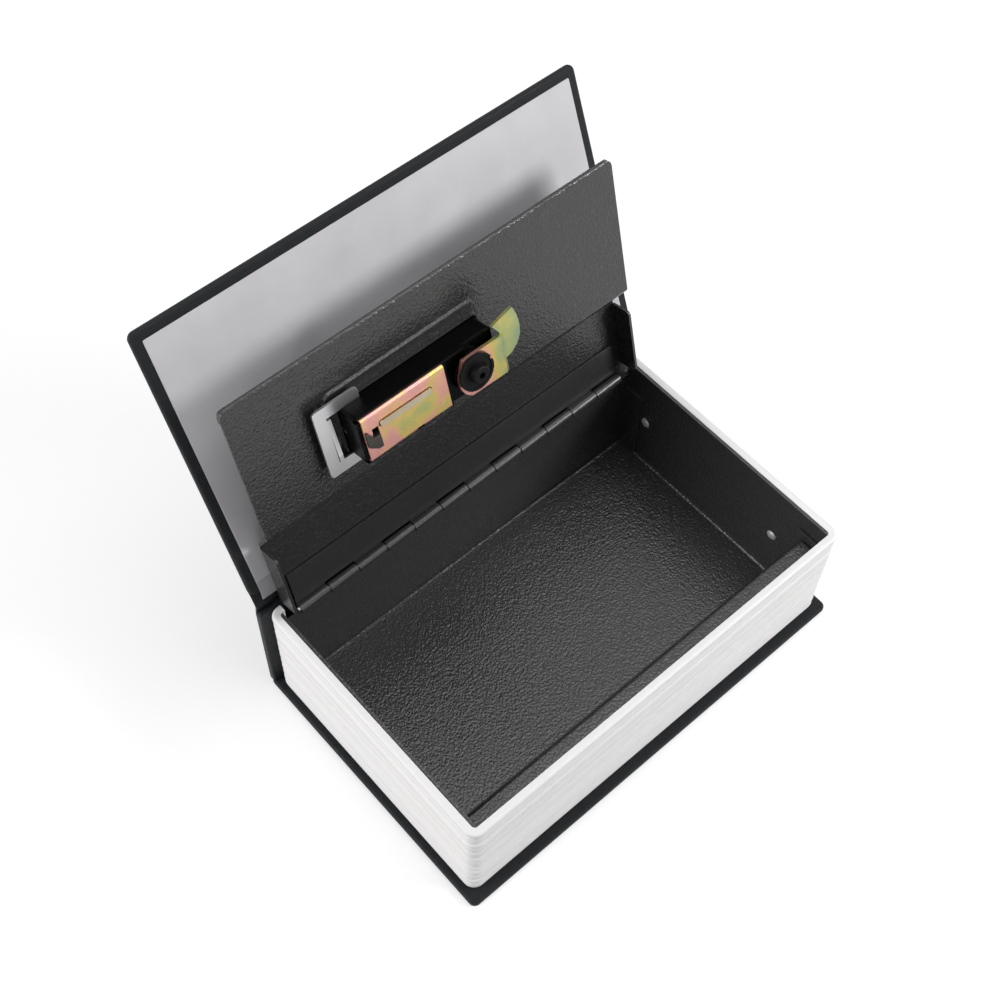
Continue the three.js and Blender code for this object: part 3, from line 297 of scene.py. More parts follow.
class HammeredRipple(EffectGroup):
    """The orange-peel ripple of hammered paint, in cells of an even size."""

    name = "hammered_ripple"
    inputs = {"Cell Size": 0.0014}
    outputs = {"Height": SocketKind.NUMBER}

    def draw(self) -> dict[str, bpy.types.NodeSocket]:
        """Draws rounded cells with a finer ripple over them.

        Returns:
            The results, by the names of the group's outputs.
        """
        nodes = self.nodes
        per_metre = nodes.math("DIVIDE", 1.0, self.start["Cell Size"])
        cells = nodes.stretch(self.start["Position"], per_metre)
        swirl = nodes.add("TexNoise", Vector=cells, Scale=0.8, Detail=2.0, Distortion=0.6)
        settings = {"feature": "SMOOTH_F1"}
        lumps = nodes.add("TexVoronoi", settings, Vector=cells, Scale=1.0, Smoothness=0.8)
        rounded = nodes.math("MULTIPLY", lumps.outputs["Distance"], 0.7)
        return {"Height": nodes.math("SUBTRACT", swirl.outputs["Fac"], rounded)}


class PebbleGrain(EffectGroup):
    """The pebbled grain of leatherette: small rounded cells with creases between them."""

    name = "pebble_grain"
    inputs = {"Cell Size": 0.0007}
    outputs = {"Height": SocketKind.NUMBER}
    crease_width = 0.18

    def draw(self) -> dict[str, bpy.types.NodeSocket]:
        """Draws wandering cells and the thin creases where they meet.

        Returns:
            The results, by the names of the group's outputs.
        """
        nodes = self.nodes
        per_metre = nodes.math("DIVIDE", 1.0, self.start["Cell Size"])
        cells = nodes.stretch(self.start["Position"], per_metre)
        wander = nodes.add("TexNoise", Vector=cells, Scale=0.7, Detail=1.0)
        shifted = nodes.add("VectorMath", {"operation": "ADD"})
        nodes.feed(shifted.inputs[0], cells)
        nodes.feed(shifted.inputs[1], wander.outputs["Color"])
        settings = {"feature": "DISTANCE_TO_EDGE"}
        edges = nodes.add("TexVoronoi", settings, Vector=shifted.outputs[0], Scale=1.0)
        crease = nodes.add("MapRange", {"interpolation_type": "SMOOTHSTEP"})
        nodes.feed(crease.inputs["Value"], edges.outputs["Distance"])
        nodes.feed(crease.inputs["From Max"], self.crease_width)
        nodes.feed(crease.inputs["To Min"], 1.0)
        nodes.feed(crease.inputs["To Max"], 0.0)
        return {"Height": nodes.math("SUBTRACT", 1.0, crease.outputs[0])}


class StretchedFibre(EffectGroup):
    """Fine fibres or drawn lines, long in the plane and thin across one axis."""

    name = "stretched_fibre"
    inputs = {"Thinness": 0.0003, "Length Share": 0.03, "Detail": 3.0}
    outputs = {"Height": SocketKind.NUMBER, "Cloud": SocketKind.NUMBER}

    def draw(self) -> dict[str, bpy.types.NodeSocket]:
        """Draws noise that is squeezed in height, and a soft cloud.

        Returns:
            The results, by the names of the group's outputs.
        """
        nodes = self.nodes
        per_metre = nodes.math("DIVIDE", 1.0, self.start["Thinness"])
        scaled = nodes.stretch(self.start["Position"], per_metre)
        parts = nodes.add("SeparateXYZ", Vector=scaled)
        squeezed = nodes.add(
            "CombineXYZ",
            X=nodes.math("MULTIPLY", parts.outputs["X"], self.start["Length Share"]),
            Y=nodes.math("MULTIPLY", parts.outputs["Y"], self.start["Length Share"]),
            Z=parts.outputs["Z"],
        )
        lines = nodes.add(
            "TexNoise", Vector=squeezed.outputs[0], Scale=1.0, Detail=self.start["Detail"]
        )
        cloud = nodes.add("TexNoise", Vector=self.start["Position"], Scale=45.0, Detail=3.0)
        return {"Height": lines.outputs["Fac"], "Cloud": cloud.outputs["Fac"]}


class ZincBloom(EffectGroup):
    """The drifting colours of yellow passivated zinc."""

    name = "zinc_bloom"
    inputs = {"Patch Size": 0.012, "Shift": 0.0, "Sweep": 0.0}
    outputs = {"Colour": SocketKind.COLOUR, "Haze": SocketKind.NUMBER}
    stops: Sequence[tuple[float, Colour]] = (
        (0.28, (0.62, 0.30, 0.29)),
        (0.44, (0.66, 0.33, 0.29)),
        (0.54, (0.66, 0.38, 0.22)),
        (0.62, (0.58, 0.46, 0.14)),
        (0.72, (0.40, 0.42, 0.17)),
        (0.86, (0.26, 0.34, 0.20)),
    )

    def draw(self) -> dict[str, bpy.types.NodeSocket]:
        """Draws the colour ramp over a slow swirl of noise.

        Returns:
            The results, by the names of the group's outputs.
        """
        nodes = self.nodes
        per_metre = nodes.math("DIVIDE", 1.0, self.start["Patch Size"])
        patches = nodes.stretch(self.start["Position"], per_metre)
        swirl = nodes.add("TexNoise", Vector=patches, Scale=1.0, Detail=2.5, Distortion=0.7)
        shifted = nodes.math("ADD", swirl.outputs["Fac"], self.start["Shift"])
        parts = nodes.add("SeparateXYZ", Vector=self.start["Position"])
        swept = nodes.math("MULTIPLY", parts.outputs["X"], self.start["Sweep"])
        ramp = nodes.add("ValToRGB", Fac=nodes.math("ADD", shifted, swept))
        colours = ramp.color_ramp.elements
        while len(colours) < len(self.stops):
            colours.new(0.5)
        for element, (place, colour) in zip(colours, self.stops):
            element.position = place
            element.color = (*colour, 1.0)
        haze = nodes.add("TexNoise", Vector=patches, Scale=6.0, Detail=3.0)
        return {"Colour": ramp.outputs["Color"], "Haze": haze.outputs["Fac"]}


class HandledDust(EffectGroup):
    """Soft uneven patches from handling and fine dust specks."""

    name = "handled_dust"
    inputs = {"Patch Size": 0.02}
    outputs = {"Patch": SocketKind.NUMBER, "Speck": SocketKind.NUMBER}
    speck_start = 0.70
    speck_full = 0.78

    def draw(self) -> dict[str, bpy.types.NodeSocket]:
        """Draws slow patches, and specks where a fine noise peaks.

        Returns:
            The results, by the names of the group's outputs.
        """
        nodes = self.nodes
        per_metre = nodes.math("DIVIDE", 1.0, self.start["Patch Size"])
        place = nodes.stretch(self.start["Position"], per_metre)
        patch = nodes.add("TexNoise", Vector=place, Scale=1.0, Detail=4.0)
        fine = nodes.add("TexNoise", Vector=self.start["Position"], Scale=2600.0, Detail=1.0)
        speck = nodes.add("MapRange", Value=fine.outputs["Fac"])
        nodes.feed(speck.inputs["From Min"], self.speck_start)
        nodes.feed(speck.inputs["From Max"], self.speck_full)
        return {"Patch": patch.outputs["Fac"], "Speck": speck.outputs[0]}


class Effects:
    """The shared node groups, each built once."""

    def __init__(self) -> None:
        """Builds every group."""
        self.ripple = HammeredRipple()
        self.pebble = PebbleGrain()
        self.fibre = StretchedFibre()
        self.bloom = ZincBloom()
        self.dust = HandledDust()


# Finishes


class Surface(NodeTree):
    """A material under construction: a Principled shader fed by effect groups."""

    noise_low = 0.3
    noise_high = 0.7
    first_colour = 6
    second_colour = 7
    mixed_colour = 2

    def __init__(
        self, name: str, roughness: float, metallic: float = 0.0, specular: float = 0.5
    ) -> None:
        """Makes the material with its constant values on the shader's own sockets.

        Args:
            name: The material's name.
            roughness: The roughness, where no effect feeds it.
            metallic: 1 for bare metal, 0 for the rest.
            specular: The level of the reflection, where 0.5 is plain plastic.
        """
        self.material = bpy.data.materials.new(name)
        self.material.use_nodes = True
        super().__init__(self.material.node_tree)
        self.shader = self.tree.nodes["Principled BSDF"]
        self.shader.inputs["Roughness"].default_value = roughness
        self.shader.inputs["Metallic"].default_value = metallic
        self.shader.inputs["Specular IOR Level"].default_value = specular
        self.position = self.add("TexCoord").outputs["Object"]

    def effect(self, group: EffectGroup, **inputs: float) -> bpy.types.bpy_prop_collection:
        """Places an effect group in the material.

        Args:
            group: The group to place.
            **inputs: Its values by name, with _ for a space.

        Returns:
            The group's outputs.
        """
        node = self.tree.nodes.new("ShaderNodeGroup")
        node.node_tree = group.tree
        self.feed(node.inputs["Position"], self.position)
        for name, value in inputs.items():
            self.feed(node.inputs[name.replace("_", " ")], value)
        return node.outputs

    def mixed(self, share: object, low: Colour, high: Colour) -> bpy.types.NodeSocket:
        """Mixes two colours.

        Args:
            share: An output that gives the share of the second colour.
            low: The colour at 0.
            high: The colour at 1.

        Returns:
            The mixed colour.
        """
        node = self.add("Mix", {"data_type": "RGBA"})
        self.feed(node.inputs["Factor"], share)
        self.feed(node.inputs[self.first_colour], (*low, 1.0))
        self.feed(node.inputs[self.second_colour], (*high, 1.0))
        return node.outputs[self.mixed_colour]

    def ranged(self, value: object, low: float, high: float) -> bpy.types.NodeSocket:
        """Maps a noise's usual spread to a range.

        Args:
            value: The output with the noise.
            low: The result where the noise is low.
            high: The result where the noise is high.

        Returns:
            The mapped value.
        """
        node = self.add("MapRange", Value=value)
        self.feed(node.inputs["From Min"], self.noise_low)
        self.feed(node.inputs["From Max"], self.noise_high)
        self.feed(node.inputs["To Min"], low)
        self.feed(node.inputs["To Max"], high)
        return node.outputs[0]

    def colour(self, value: object) -> None:
        """Feeds the base colour."""
        self.feed(self.shader.inputs["Base Color"], value)

    def shaded(self, value: object, dark: Colour, light: Colour) -> None:
        """Feeds the base colour from a noise.

        Args:
            value: The output with the noise.
            dark: The colour where the noise is low.
            light: The colour where the noise is high.
        """
        self.colour(self.mixed(self.ranged(value, 0.0, 1.0), dark, light))

    def roughness(self, value: object) -> None:
        """Feeds the roughness."""
        self.feed(self.shader.inputs["Roughness"], value)

    def bump(self, height: object, depth: float, strength: float = 1.0) -> None:
        """Feeds the normal from a height.

        Args:
            height: The output with the height, from 0 to 1.
            depth: How deep the relief is, in metres.
            strength: The share of the relief that shows.
        """
        node = self.add("Bump", Height=height, Distance=depth, Strength=strength)
        self.feed(self.shader.inputs["Normal"], node.outputs["Normal"])


@dataclass(frozen=True)
class Leatherette:
    """Black embossed covering cloth."""

    dark: Colour = (0.004, 0.005, 0.0065)
    light: Colour = (0.009, 0.011, 0.014)
    grain_size: float = 0.65 * MM
    grain_depth: float = 0.09 * MM
    patch: float = 0.03
    patch_low: float = 0.2
    patch_high: float = 0.8
    smooth: float = 0.44
    dull: float = 0.6
    specular: float = 0.22

    def build(self, effects: Effects) -> bpy.types.Material:
        """Makes the material from the shared effects.

        Args:
            effects: The shared node groups.

        Returns:
            The finished material.
        """
        surface = Surface("leatherette", roughness=self.dull, specular=self.specular)
        grain = surface.effect(effects.pebble, Cell_Size=self.grain_size)
        dust = surface.effect(effects.dust, Patch_Size=self.patch)
        share = surface.ranged(dust["Patch"], self.patch_low, self.patch_high)
        surface.colour(surface.mixed(share, self.dark, self.light))
        surface.roughness(surface.ranged(dust["Patch"], self.smooth, self.dull))
        surface.bump(grain["Height"], self.grain_depth)
        return surface.material


@dataclass(frozen=True)
class PagePlastic:
    """White moulded plastic, with fine lines like the edges of pages."""

    dark: Colour = (0.77, 0.755, 0.755)
    light: Colour = (0.92, 0.91, 0.91)
    line_thinness: float = 1.4 * MM
    line_depth: float = 0.04 * MM
    line_strength: float = 0.6
    line_detail: float = 0.6
    length_share: float = 0.0012
    smooth: float = 0.42
    dull: float = 0.55

    def build(self, effects: Effects) -> bpy.types.Material:
        """Makes the material from the shared effects.

        Args:
            effects: The shared node groups.

        Returns:
            The finished material.
        """
        surface = Surface("page_plastic", roughness=self.smooth)
        lines = surface.effect(
            effects.fibre,
            Thinness=self.line_thinness,
            Length_Share=self.length_share,
            Detail=self.line_detail,
        )
        surface.shaded(lines["Height"], self.dark, self.light)
        surface.roughness(surface.ranged(lines["Cloud"], self.smooth, self.dull))
        surface.bump(lines["Height"], self.line_depth, self.line_strength)
        return surface.material


@dataclass(frozen=True)
class Endpaper:
    """Pale grey uncoated paper."""

    dark: Colour = (0.57, 0.56, 0.58)
    light: Colour = (0.65, 0.64, 0.66)
    fibre_size: float = 0.5 * MM
    fibre_depth: float = 0.03 * MM
    fibre_strength: float = 0.7
    length_share: float = 0.4
    dull: float = 0.82

    def build(self, effects: Effects) -> bpy.types.Material:
        """Makes the material from the shared effects.

        Args:
            effects: The shared node groups.

        Returns:
            The finished material.
        """
        surface = Surface("endpaper", roughness=self.dull)
        sizes = {"Thinness": self.fibre_size, "Length_Share": self.length_share}
        fibre = surface.effect(effects.fibre, **sizes)
        surface.shaded(fibre["Cloud"], self.dark, self.light)
        surface.bump(fibre["Height"], self.fibre_depth, self.fibre_strength)
        return surface.material


@dataclass(frozen=True)
class HammeredPaint:
    """Dark grey hammered paint on sheet steel."""

    name: str
    depth: float
    smooth: float
    dull: float
    dark: Colour = (0.045, 0.045, 0.047)
    light: Colour = (0.080, 0.080, 0.082)
    cell: float = 0.85 * MM
    patch: float = 0.05
    metallic: float = 0.25
    strength: float = 0.9

    def build(self, effects: Effects) -> bpy.types.Material:
        """Makes the material from the shared effects.

        Args:
            effects: The shared node groups.

        Returns:
            The finished material.
        """
        surface = Surface(self.name, roughness=self.smooth, metallic=self.metallic)
        ripple = surface.effect(effects.ripple, Cell_Size=self.cell)
        dust = surface.effect(effects.dust, Patch_Size=self.patch)
        surface.shaded(ripple["Height"], self.dark, self.light)
        surface.roughness(surface.ranged(dust["Patch"], self.smooth, self.dull))
        surface.bump(ripple["Height"], self.depth, self.strength)
        return surface.material


@dataclass(frozen=True)
class DrawnMetal:
    """Bare or plated metal with fine drawn lines."""

    name: str
    dark: Colour
    light: Colour
    smooth: float
    dull: float
    metallic: float = 1.0
    line_thinness: float = 0.12 * MM
    line_depth: float = 0.012 * MM
    line_strength: float = 0.5
    length_share: float = 0.02

    def build(self, effects: Effects) -> bpy.types.Material:
        """Makes the material from the shared effects.

        Args:
            effects: The shared node groups.

        Returns:
            The finished material.
        """
        surface = Surface(self.name, roughness=self.smooth, metallic=self.metallic)
        sizes = {"Thinness": self.line_thinness, "Length_Share": self.length_share}
        lines = surface.effect(effects.fibre, **sizes)
        surface.shaded(lines["Cloud"], self.dark, self.light)
        surface.roughness(surface.ranged(lines["Height"], self.smooth, self.dull))
        surface.bump(lines["Height"], self.line_depth, self.line_strength)
        return surface.material


@dataclass(frozen=True)
class YellowZinc:
    """Yellow passivated zinc, whose colours drift over the plate."""

    name: str
    patch: float
    shift: float
    sweep: float = 0.0
    metallic: float = 0.85
    smooth: float = 0.26
    dull: float = 0.38
    haze_depth: float = 0.006 * MM
    haze_strength: float = 0.3

    def build(self, effects: Effects) -> bpy.types.Material:
        """Makes the material from the shared effects.

        Args:
            effects: The shared node groups.

        Returns:
            The finished material.
        """
        surface = Surface(self.name, roughness=self.smooth, metallic=self.metallic)
        values = {"Patch_Size": self.patch, "Shift": self.shift, "Sweep": self.sweep}
        bloom = surface.effect(effects.bloom, **values)
        surface.colour(bloom["Colour"])
        surface.roughness(surface.ranged(bloom["Haze"], self.smooth, self.dull))
        surface.bump(bloom["Haze"], self.haze_depth, self.haze_strength)
        return surface.material


@dataclass(frozen=True)
class Moulding:
    """Moulded plastic with a fine spark-eroded texture."""

    name: str
    dark: Colour
    light: Colour
    smooth: float
    dull: float
    specular: float = 0.5
    texture_size: float = 0.25 * MM
    texture_depth: float = 0.015 * MM
    texture_strength: float = 0.6
    patch: float = 0.01

    def build(self, effects: Effects) -> bpy.types.Material:
        """Makes the material from the shared effects.

        Args:
            effects: The shared node groups.

        Returns:
            The finished material.
        """
        surface = Surface(self.name, roughness=self.smooth, specular=self.specular)
        texture = surface.effect(effects.ripple, Cell_Size=self.texture_size)
        dust = surface.effect(effects.dust, Patch_Size=self.patch)
        surface.colour(surface.mixed(dust["Speck"], self.dark, self.light))
        surface.roughness(surface.ranged(dust["Patch"], self.smooth, self.dull))
        surface.bump(texture["Height"], self.texture_depth, self.texture_strength)
        return surface.material


class Finish(Enum):
    """The finishes of the safe, under the names of the record's slots where it has them."""

    LEATHERETTE = Leatherette()
    PAGE = PagePlastic()
    ENDPAPER = Endpaper()
    PAINT = HammeredPaint("hammered_paint", 0.19 * MM, 0.14, 0.24)
    HINGE_PAINT = HammeredPaint("hinge_paint", 0.03 * MM, 0.24, 0.34)
    BRIGHT = DrawnMetal("bright_steel", (0.56, 0.56, 0.57), (0.67, 0.67, 0.68), 0.3, 0.4)
    RIVET = DrawnMetal("rivet_steel", (0.50, 0.50, 0.49), (0.62, 0.62, 0.60), 0.45, 0.55, 0.5)
    GREY = DrawnMetal("grey_metal", (0.42, 0.36, 0.25), (0.56, 0.50, 0.37), 0.35, 0.5)
    DARK = DrawnMetal("dark_metal", (0.045, 0.042, 0.038), (0.11, 0.10, 0.09), 0.4, 0.55)
    ZINC_PLATE = YellowZinc("yellow_zinc", 11 * MM, -0.02)
    ZINC_CAM = YellowZinc("yellow_zinc_cam", 15 * MM, -0.08, 24.0)
    BLACK = Moulding(
        "black_moulding", (0.001, 0.001, 0.0012), (0.004, 0.004, 0.004), 0.25, 0.38, 0.08
    )
    NUT = Moulding("black_nut", (0.004, 0.004, 0.004), (0.012, 0.012, 0.012), 0.5, 0.62, 0.14)
    DIAL = Moulding("dial_black", (0.008, 0.008, 0.009), (0.03, 0.03, 0.03), 0.28, 0.4)
    DIGIT = Moulding("dial_digits", (0.72, 0.72, 0.70), (0.6, 0.6, 0.58), 0.45, 0.55)


class Finishes:
    """The built materials, one for each finish."""

    def __init__(self) -> None:
        """Builds the effects and then every finish from them."""
        effects = Effects()
        self.made = {finish: finish.value.build(effects) for finish in Finish}

    def dress(self, piece: bpy.types.Object, finish: Finish) -> None:
        """Gives a piece one finish all over.

        Args:
            piece: The mesh object.
            finish: The finish to give it.
        """
        piece.data.materials.clear()
        piece.data.materials.append(self.made[finish])


# Mesh helpers

SHARP_ANGLE = 50
BOARD_SHARP_ANGLE = 60
ROUNDED_ANGLE = 38
WELD_GAP = 0.001 * MM
LARGE_FACE_WEIGHT = 100


def solid_piece(
    name: str,
    points: Sequence[Vector],
    faces: Sequence[Sequence[int]],
    sharp: float = SHARP_ANGLE,
) -> bpy.types.Object:
    """Makes a smooth-shaded mesh object in the frame.

    Args:
        name: The piece's name.
        points: Its points, in metres.
        faces: Its faces, as indices of points.
        sharp: The angle in degrees from which an edge stays sharp.

    Returns:
        The new object, linked to the scene.
    """
    mesh = bpy.data.meshes.new(name)
    mesh.from_pydata([tuple(point) for point in points], [], [list(face) for face in faces])
    mesh.validate()
    tidy = bmesh.new()
    tidy.from_mesh(mesh)
    bmesh.ops.recalc_face_normals(tidy, faces=tidy.faces)
    tidy.to_mesh(mesh)
    tidy.free()
    mesh.shade_smooth()
    mesh.set_sharp_from_angle(angle=math.radians(sharp))
    piece = bpy.data.objects.new(name, mesh)
    bpy.context.scene.collection.objects.link(piece)
    return piece


def rounded_outline(half_x: float, half_y: float, radius: float, steps: int = 8) -> list[Point2]:
    """Gives the points of a rectangle with round corners, counter-clockwise.

    Args:
        half_x: Half its width.
        half_y: Half its height.
        radius: The corner radius.
        steps: Points on each corner's arc, less one.

    Returns:
        The points, in the rectangle's own plane.
    """
    points = []
    for corner, (side_x, side_y) in enumerate(((1, 1), (-1, 1), (-1, -1), (1, -1))):
        for step in range(steps + 1):
            angle = math.pi / 2 * (corner + step / steps)
            points.append(
                (
                    side_x * (half_x - radius) + radius * math.cos(angle),
                    side_y * (half_y - radius) + radius * math.sin(angle),
                )
            )
    return points


def ring_faces(rings: int, count: int, closed: bool = True) -> list[tuple[int, ...]]:
    """Gives the quads between rings of points that follow one another.

    Args:
        rings: How many rings there are.
        count: How many points each ring has.
        closed: True if each ring runs back to its own start.

    Returns:
        The faces, as indices of points.
    """
    last = count if closed else count - 1
    return [
        (
            ring * count + point,
            ring * count + (point + 1) % count,
            (ring + 1) * count + (point + 1) % count,
            (ring + 1) * count + point,
        )
        for ring in range(rings - 1)
        for point in range(last)
    ]


def capped(rings: int, count: int) -> list[tuple[int, ...]]:
    """Gives the faces of a closed body through rings, with a cap at each end.

    Args:
        rings: How many rings there are.
        count: How many points each ring has.

    Returns:
        The faces, as indices of points.
    """
    first = tuple(range(count))
    final = tuple(range((rings - 1) * count, rings * count))
    return [*ring_faces(rings, count), first[::-1], final]


def soften(piece: bpy.types.Object, width: float, segments: int = 2) -> None:
    """Rounds a CAD piece's hard edges and shades it smoothly, without touching its own points.

    Args:
        piece: The carried-over CAD object.
        width: The width of the rounding.
        segments: How many steps the rounding has.
    """
    piece.data.shade_smooth()
    weld = piece.modifiers.new("weld", "WELD")
    weld.merge_threshold = WELD_GAP
    rounding = piece.modifiers.new("rounding", "BEVEL")
    rounding.width = width
    rounding.segments = segments
    rounding.limit_method = "ANGLE"
    rounding.angle_limit = math.radians(ROUNDED_ANGLE)
    rounding.use_clamp_overlap = True
    rounding.harden_normals = True
    weighted = piece.modifiers.new("weighted", "WEIGHTED_NORMAL")
    weighted.keep_sharp = True
    weighted.weight = LARGE_FACE_WEIGHT


def dress_nodes(
    finishes: Finishes, plan: dict[Finish, Sequence[str]], rounding: float
) -> list[bpy.types.Object]:
    """Dresses carried-over CAD nodes and rounds their edges.

    Args:
        finishes: The built materials.
        plan: The names of the nodes for each finish.
        rounding: The width of the rounding.

    Returns:
        The dressed objects.
    """
    made = []
    for finish, names in plan.items():
        for name in names:
            node = frame["nodes"][name]
            finishes.dress(node, finish)
            soften(node, rounding)
            made.append(node)
    return made


# Sub-assemblies


@dataclass
class WrappedBoard:
    """A board wrapped in leatherette, with soft edges and round corners.

    Attributes:
        half_x: Half the board's length.
        low: Its near edge in the board's own plane.
        high: Its far edge in the board's own plane.
        bottom: The lower face's height in the board's own frame.
        top: The upper face's height there.
        corner: The radius of its corners.
        edge: The radius of its edges.
        edge_steps: Steps on each edge's quarter round.
        corner_share: How much of an inset the corner radius loses.
    """

    half_x: float
    low: float
    high: float
    bottom: float
    top: float
    corner: float = 2.5 * MM
    edge: float = 1.1 * MM
    edge_steps: int = 5
    corner_share: float = 0.6

    def mesh(self, name: str, place: Callable[[float, float, float], Vector]) -> bpy.types.Object:
        """Builds the board.

        Args:
            name: The piece's name.
            place: Puts a point of the board's own frame into the model's frame.

        Returns:
            The board's object.
        """
        half_y = (self.high - self.low) / 2
        middle = (self.high + self.low) / 2
        levels = []
        for step in range(self.edge_steps + 1):
            angle = math.pi / 2 * step / self.edge_steps
            inset = self.edge * (1 - math.sin(angle))
            levels.append((self.bottom + self.edge * (1 - math.cos(angle)), inset))
        levels += [(self.top + self.bottom - height, inset) for height, inset in reversed(levels)]
        points = []
        for height, inset in levels:
            radius = self.corner - inset * self.corner_share
            outline = rounded_outline(self.half_x - inset, half_y - inset, radius)
            points += [place(x, y + middle, height) for x, y in outline]
        faces = capped(len(levels), len(points) // len(levels))
        return solid_piece(name, points, faces, sharp=BOARD_SHARP_ANGLE)


@dataclass
class BookCase:
    """The hard case of the book: back board, spine, joint cloth, front cover and endpapers.

    Attributes:
        finishes: The built materials.
        spine_corner: The radius of the spine board's corners.
        spine_edge: The radius of its edges.
        cover_thickness: The front board's thickness.
        cloth_thickness: The covering cloth's thickness.
        cloth_span: The cloth's way from the fold to the front board.
        cloth_lap: How far the cloth laps over the spine and the front board.
        cloth_tuck: How far it lies inside the boards' outer faces.
        cloth_steps: Steps along the cloth on each side of the fold.
        strip_columns: Steps along the length of cloth and paper strips.
        joint_dip: How much deeper it lies in the joint.
        dip_start: The share of the spine's lap from which it goes deeper.
        bend: How far from the fold on each side the cloth bends.
        paper_thickness: The endpaper's thickness.
        paper_gap: The clearance under the endpaper.
        paper_margin: The board's border round the endpaper.
        paper_foot: The endpaper's distance from the front board's lower edge.
        paper_corner: The radius of the endpaper's corners.
        paper_edge: The radius of its edges.
        paper_steps: Steps along the strip of paper in the joint.
        strip_share: That strip's thickness as a share of the endpaper's.
        board_gap: The clearance between the boards and the cloth's ends.
        fold: The hinge line of the cover, and how far it stands open.
    """

    finishes: Finishes
    spine_corner: float = 1.2 * MM
    spine_edge: float = 0.7 * MM
    cover_thickness: float = 2.6 * MM
    cloth_thickness: float = 0.7 * MM
    cloth_span: float = 5.2 * MM
    cloth_lap: float = 2.4 * MM
    cloth_tuck: float = 0.25 * MM
    cloth_steps: int = 12
    strip_columns: int = 24
    joint_dip: float = 0.5 * MM
    dip_start: float = 0.4
    bend: float = 1.2 * MM
    paper_thickness: float = 0.3 * MM
    paper_gap: float = 0.05 * MM
    paper_margin: float = 3.6 * MM
    paper_foot: float = 4.8 * MM
    paper_corner: float = 0.5 * MM
    paper_edge: float = 0.1 * MM
    paper_steps: int = 8
    strip_share: float = 0.8
    board_gap: float = 0.3 * MM
    fold: HingePlane = field(init=False)

    def __post_init__(self) -> None:
        """Reads the cloth's hinge line and the back board's box from the frame."""
        self.fold = HingePlane.from_joint("cover_fold")
        self.low, self.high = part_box("back_board")

    def build(self) -> list[bpy.types.Object]:
        """Builds every piece of the case and sets what each piece but the joint cloth rides on."""
        return [
            self.back_board(),
            self.spine(),
            self.front_board(),
            self.joint_cloth(),
            self.cover_paper(),
            self.joint_paper(),
        ]

    def back_board(self) -> bpy.types.Object:
        """Builds the board that the safe lies on.

        Returns:
            The board, in the place of its CAD node.
        """
        board = WrappedBoard(self.high.x, self.low.y, self.high.y, self.low.z, self.high.z)
        piece = board.mesh("back_board_wrap", lambda x, y, z: Vector((x, y, z)))
        return self.finish(piece, "safe_body", ("back_board",))

    def spine(self) -> bpy.types.Object:
        """Builds the wrapped spine board.

        Returns:
            The board, in the place of its CAD node.
        """
        low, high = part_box("spine_board")
        board = WrappedBoard(
            high.x, low.z, high.z, low.y, high.y, corner=self.spine_corner, edge=self.spine_edge
        )
        piece = board.mesh("spine_wrap", lambda x, z, y: Vector((x, y, z)))
        return self.finish(piece, "safe_body", ("spine_board",))

    def front_board(self) -> bpy.types.Object:
        """Builds the wrapped front board in its open place.

        Returns:
            The board, in the place of its CAD node.
        """
        depth = self.high.y - self.low.y
        board = WrappedBoard(
            self.high.x, self.cloth_span + self.board_gap, depth, -self.cover_thickness, 0.0
        )
        piece = board.mesh("front_board_wrap", self.fold.at)
        return self.finish(piece, "cover", ("front_board",))

    def strip(
        self, name: str, line: Sequence[Vector], half_x: float, thickness: float
    ) -> bpy.types.Object:
        """Builds a thin strip along X that follows a line, thickened away from the outer side.

        Args:
            name: The piece's name.
            line: Points of the strip's outer face in Y and Z, at X 0.
            half_x: Half the strip's length.
            thickness: Its thickness.

        Returns:
            The strip's object.
        """
        columns = self.strip_columns
        inner = []
        for i, point in enumerate(line):
            ahead = line[min(i + 1, len(line) - 1)] - line[max(i - 1, 0)]
            normal = Vector((0, ahead.z, -ahead.y)).normalized()
            inner.append(point - normal * thickness)
        section = [*line, *reversed(inner)]
        points = []
        for column in range(columns + 1):
            x = half_x * (2 * column / columns - 1)
            points += [Vector((x, point.y, point.z)) for point in section]
        return solid_piece(name, points, capped(columns + 1, len(section)))

    def joint_cloth(self) -> bpy.types.Object:
        """Builds the folding cloth that runs from the spine over the fold to the front board.

        Returns:
            The cloth, which runs between the safe's body and the cover.
        """
        _, spine_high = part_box("spine_board")
        foot = spine_high.z - self.cloth_lap
        steps = self.cloth_steps
        line = []
        for step in range(steps):
            share = step / steps
            deeper = max(0.0, (share - self.dip_start) / (1 - self.dip_start))
            dip = self.cloth_tuck + self.joint_dip * smooth_step(deeper)
            line.append(Vector((0, self.fold.y - dip, foot + (self.fold.z - foot) * share)))
        length = self.cloth_span + self.cloth_lap
        for step in range(steps + 1):
            share = step / steps
            dip = self.cloth_tuck + self.joint_dip * (1 - smooth_step(max(0.0, share * 2 - 1)))
            line.append(self.fold.at(0, length * share, -dip))
        half_x = self.high.x - self.board_gap
        piece = self.strip("joint_cloth", line, half_x, self.cloth_thickness)
        self.finishes.dress(piece, Finish.LEATHERETTE)
        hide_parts("spine_cloth", "hinge_cloth")
        self.fold.at(0, self.bend)
        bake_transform(piece)
        return piece

    def cover_paper(self) -> bpy.types.Object:
        """Builds the endpaper on the front board.

        Returns:
            The paper, in the place of its CAD node.
        """
        face = -self.cover_thickness - self.paper_gap
        board = WrappedBoard(
            self.high.x - self.paper_margin,
            self.cloth_span + self.paper_foot,
            self.high.y - self.low.y - self.paper_margin,
            face - self.paper_thickness,
            face,
            corner=self.paper_corner,
            edge=self.paper_edge,
            edge_steps=1,
        )
        piece = board.mesh("cover_paper", self.fold.at)
        return self.finish(piece, "cover", ("front_endpaper",), Finish.ENDPAPER, "endpaper")

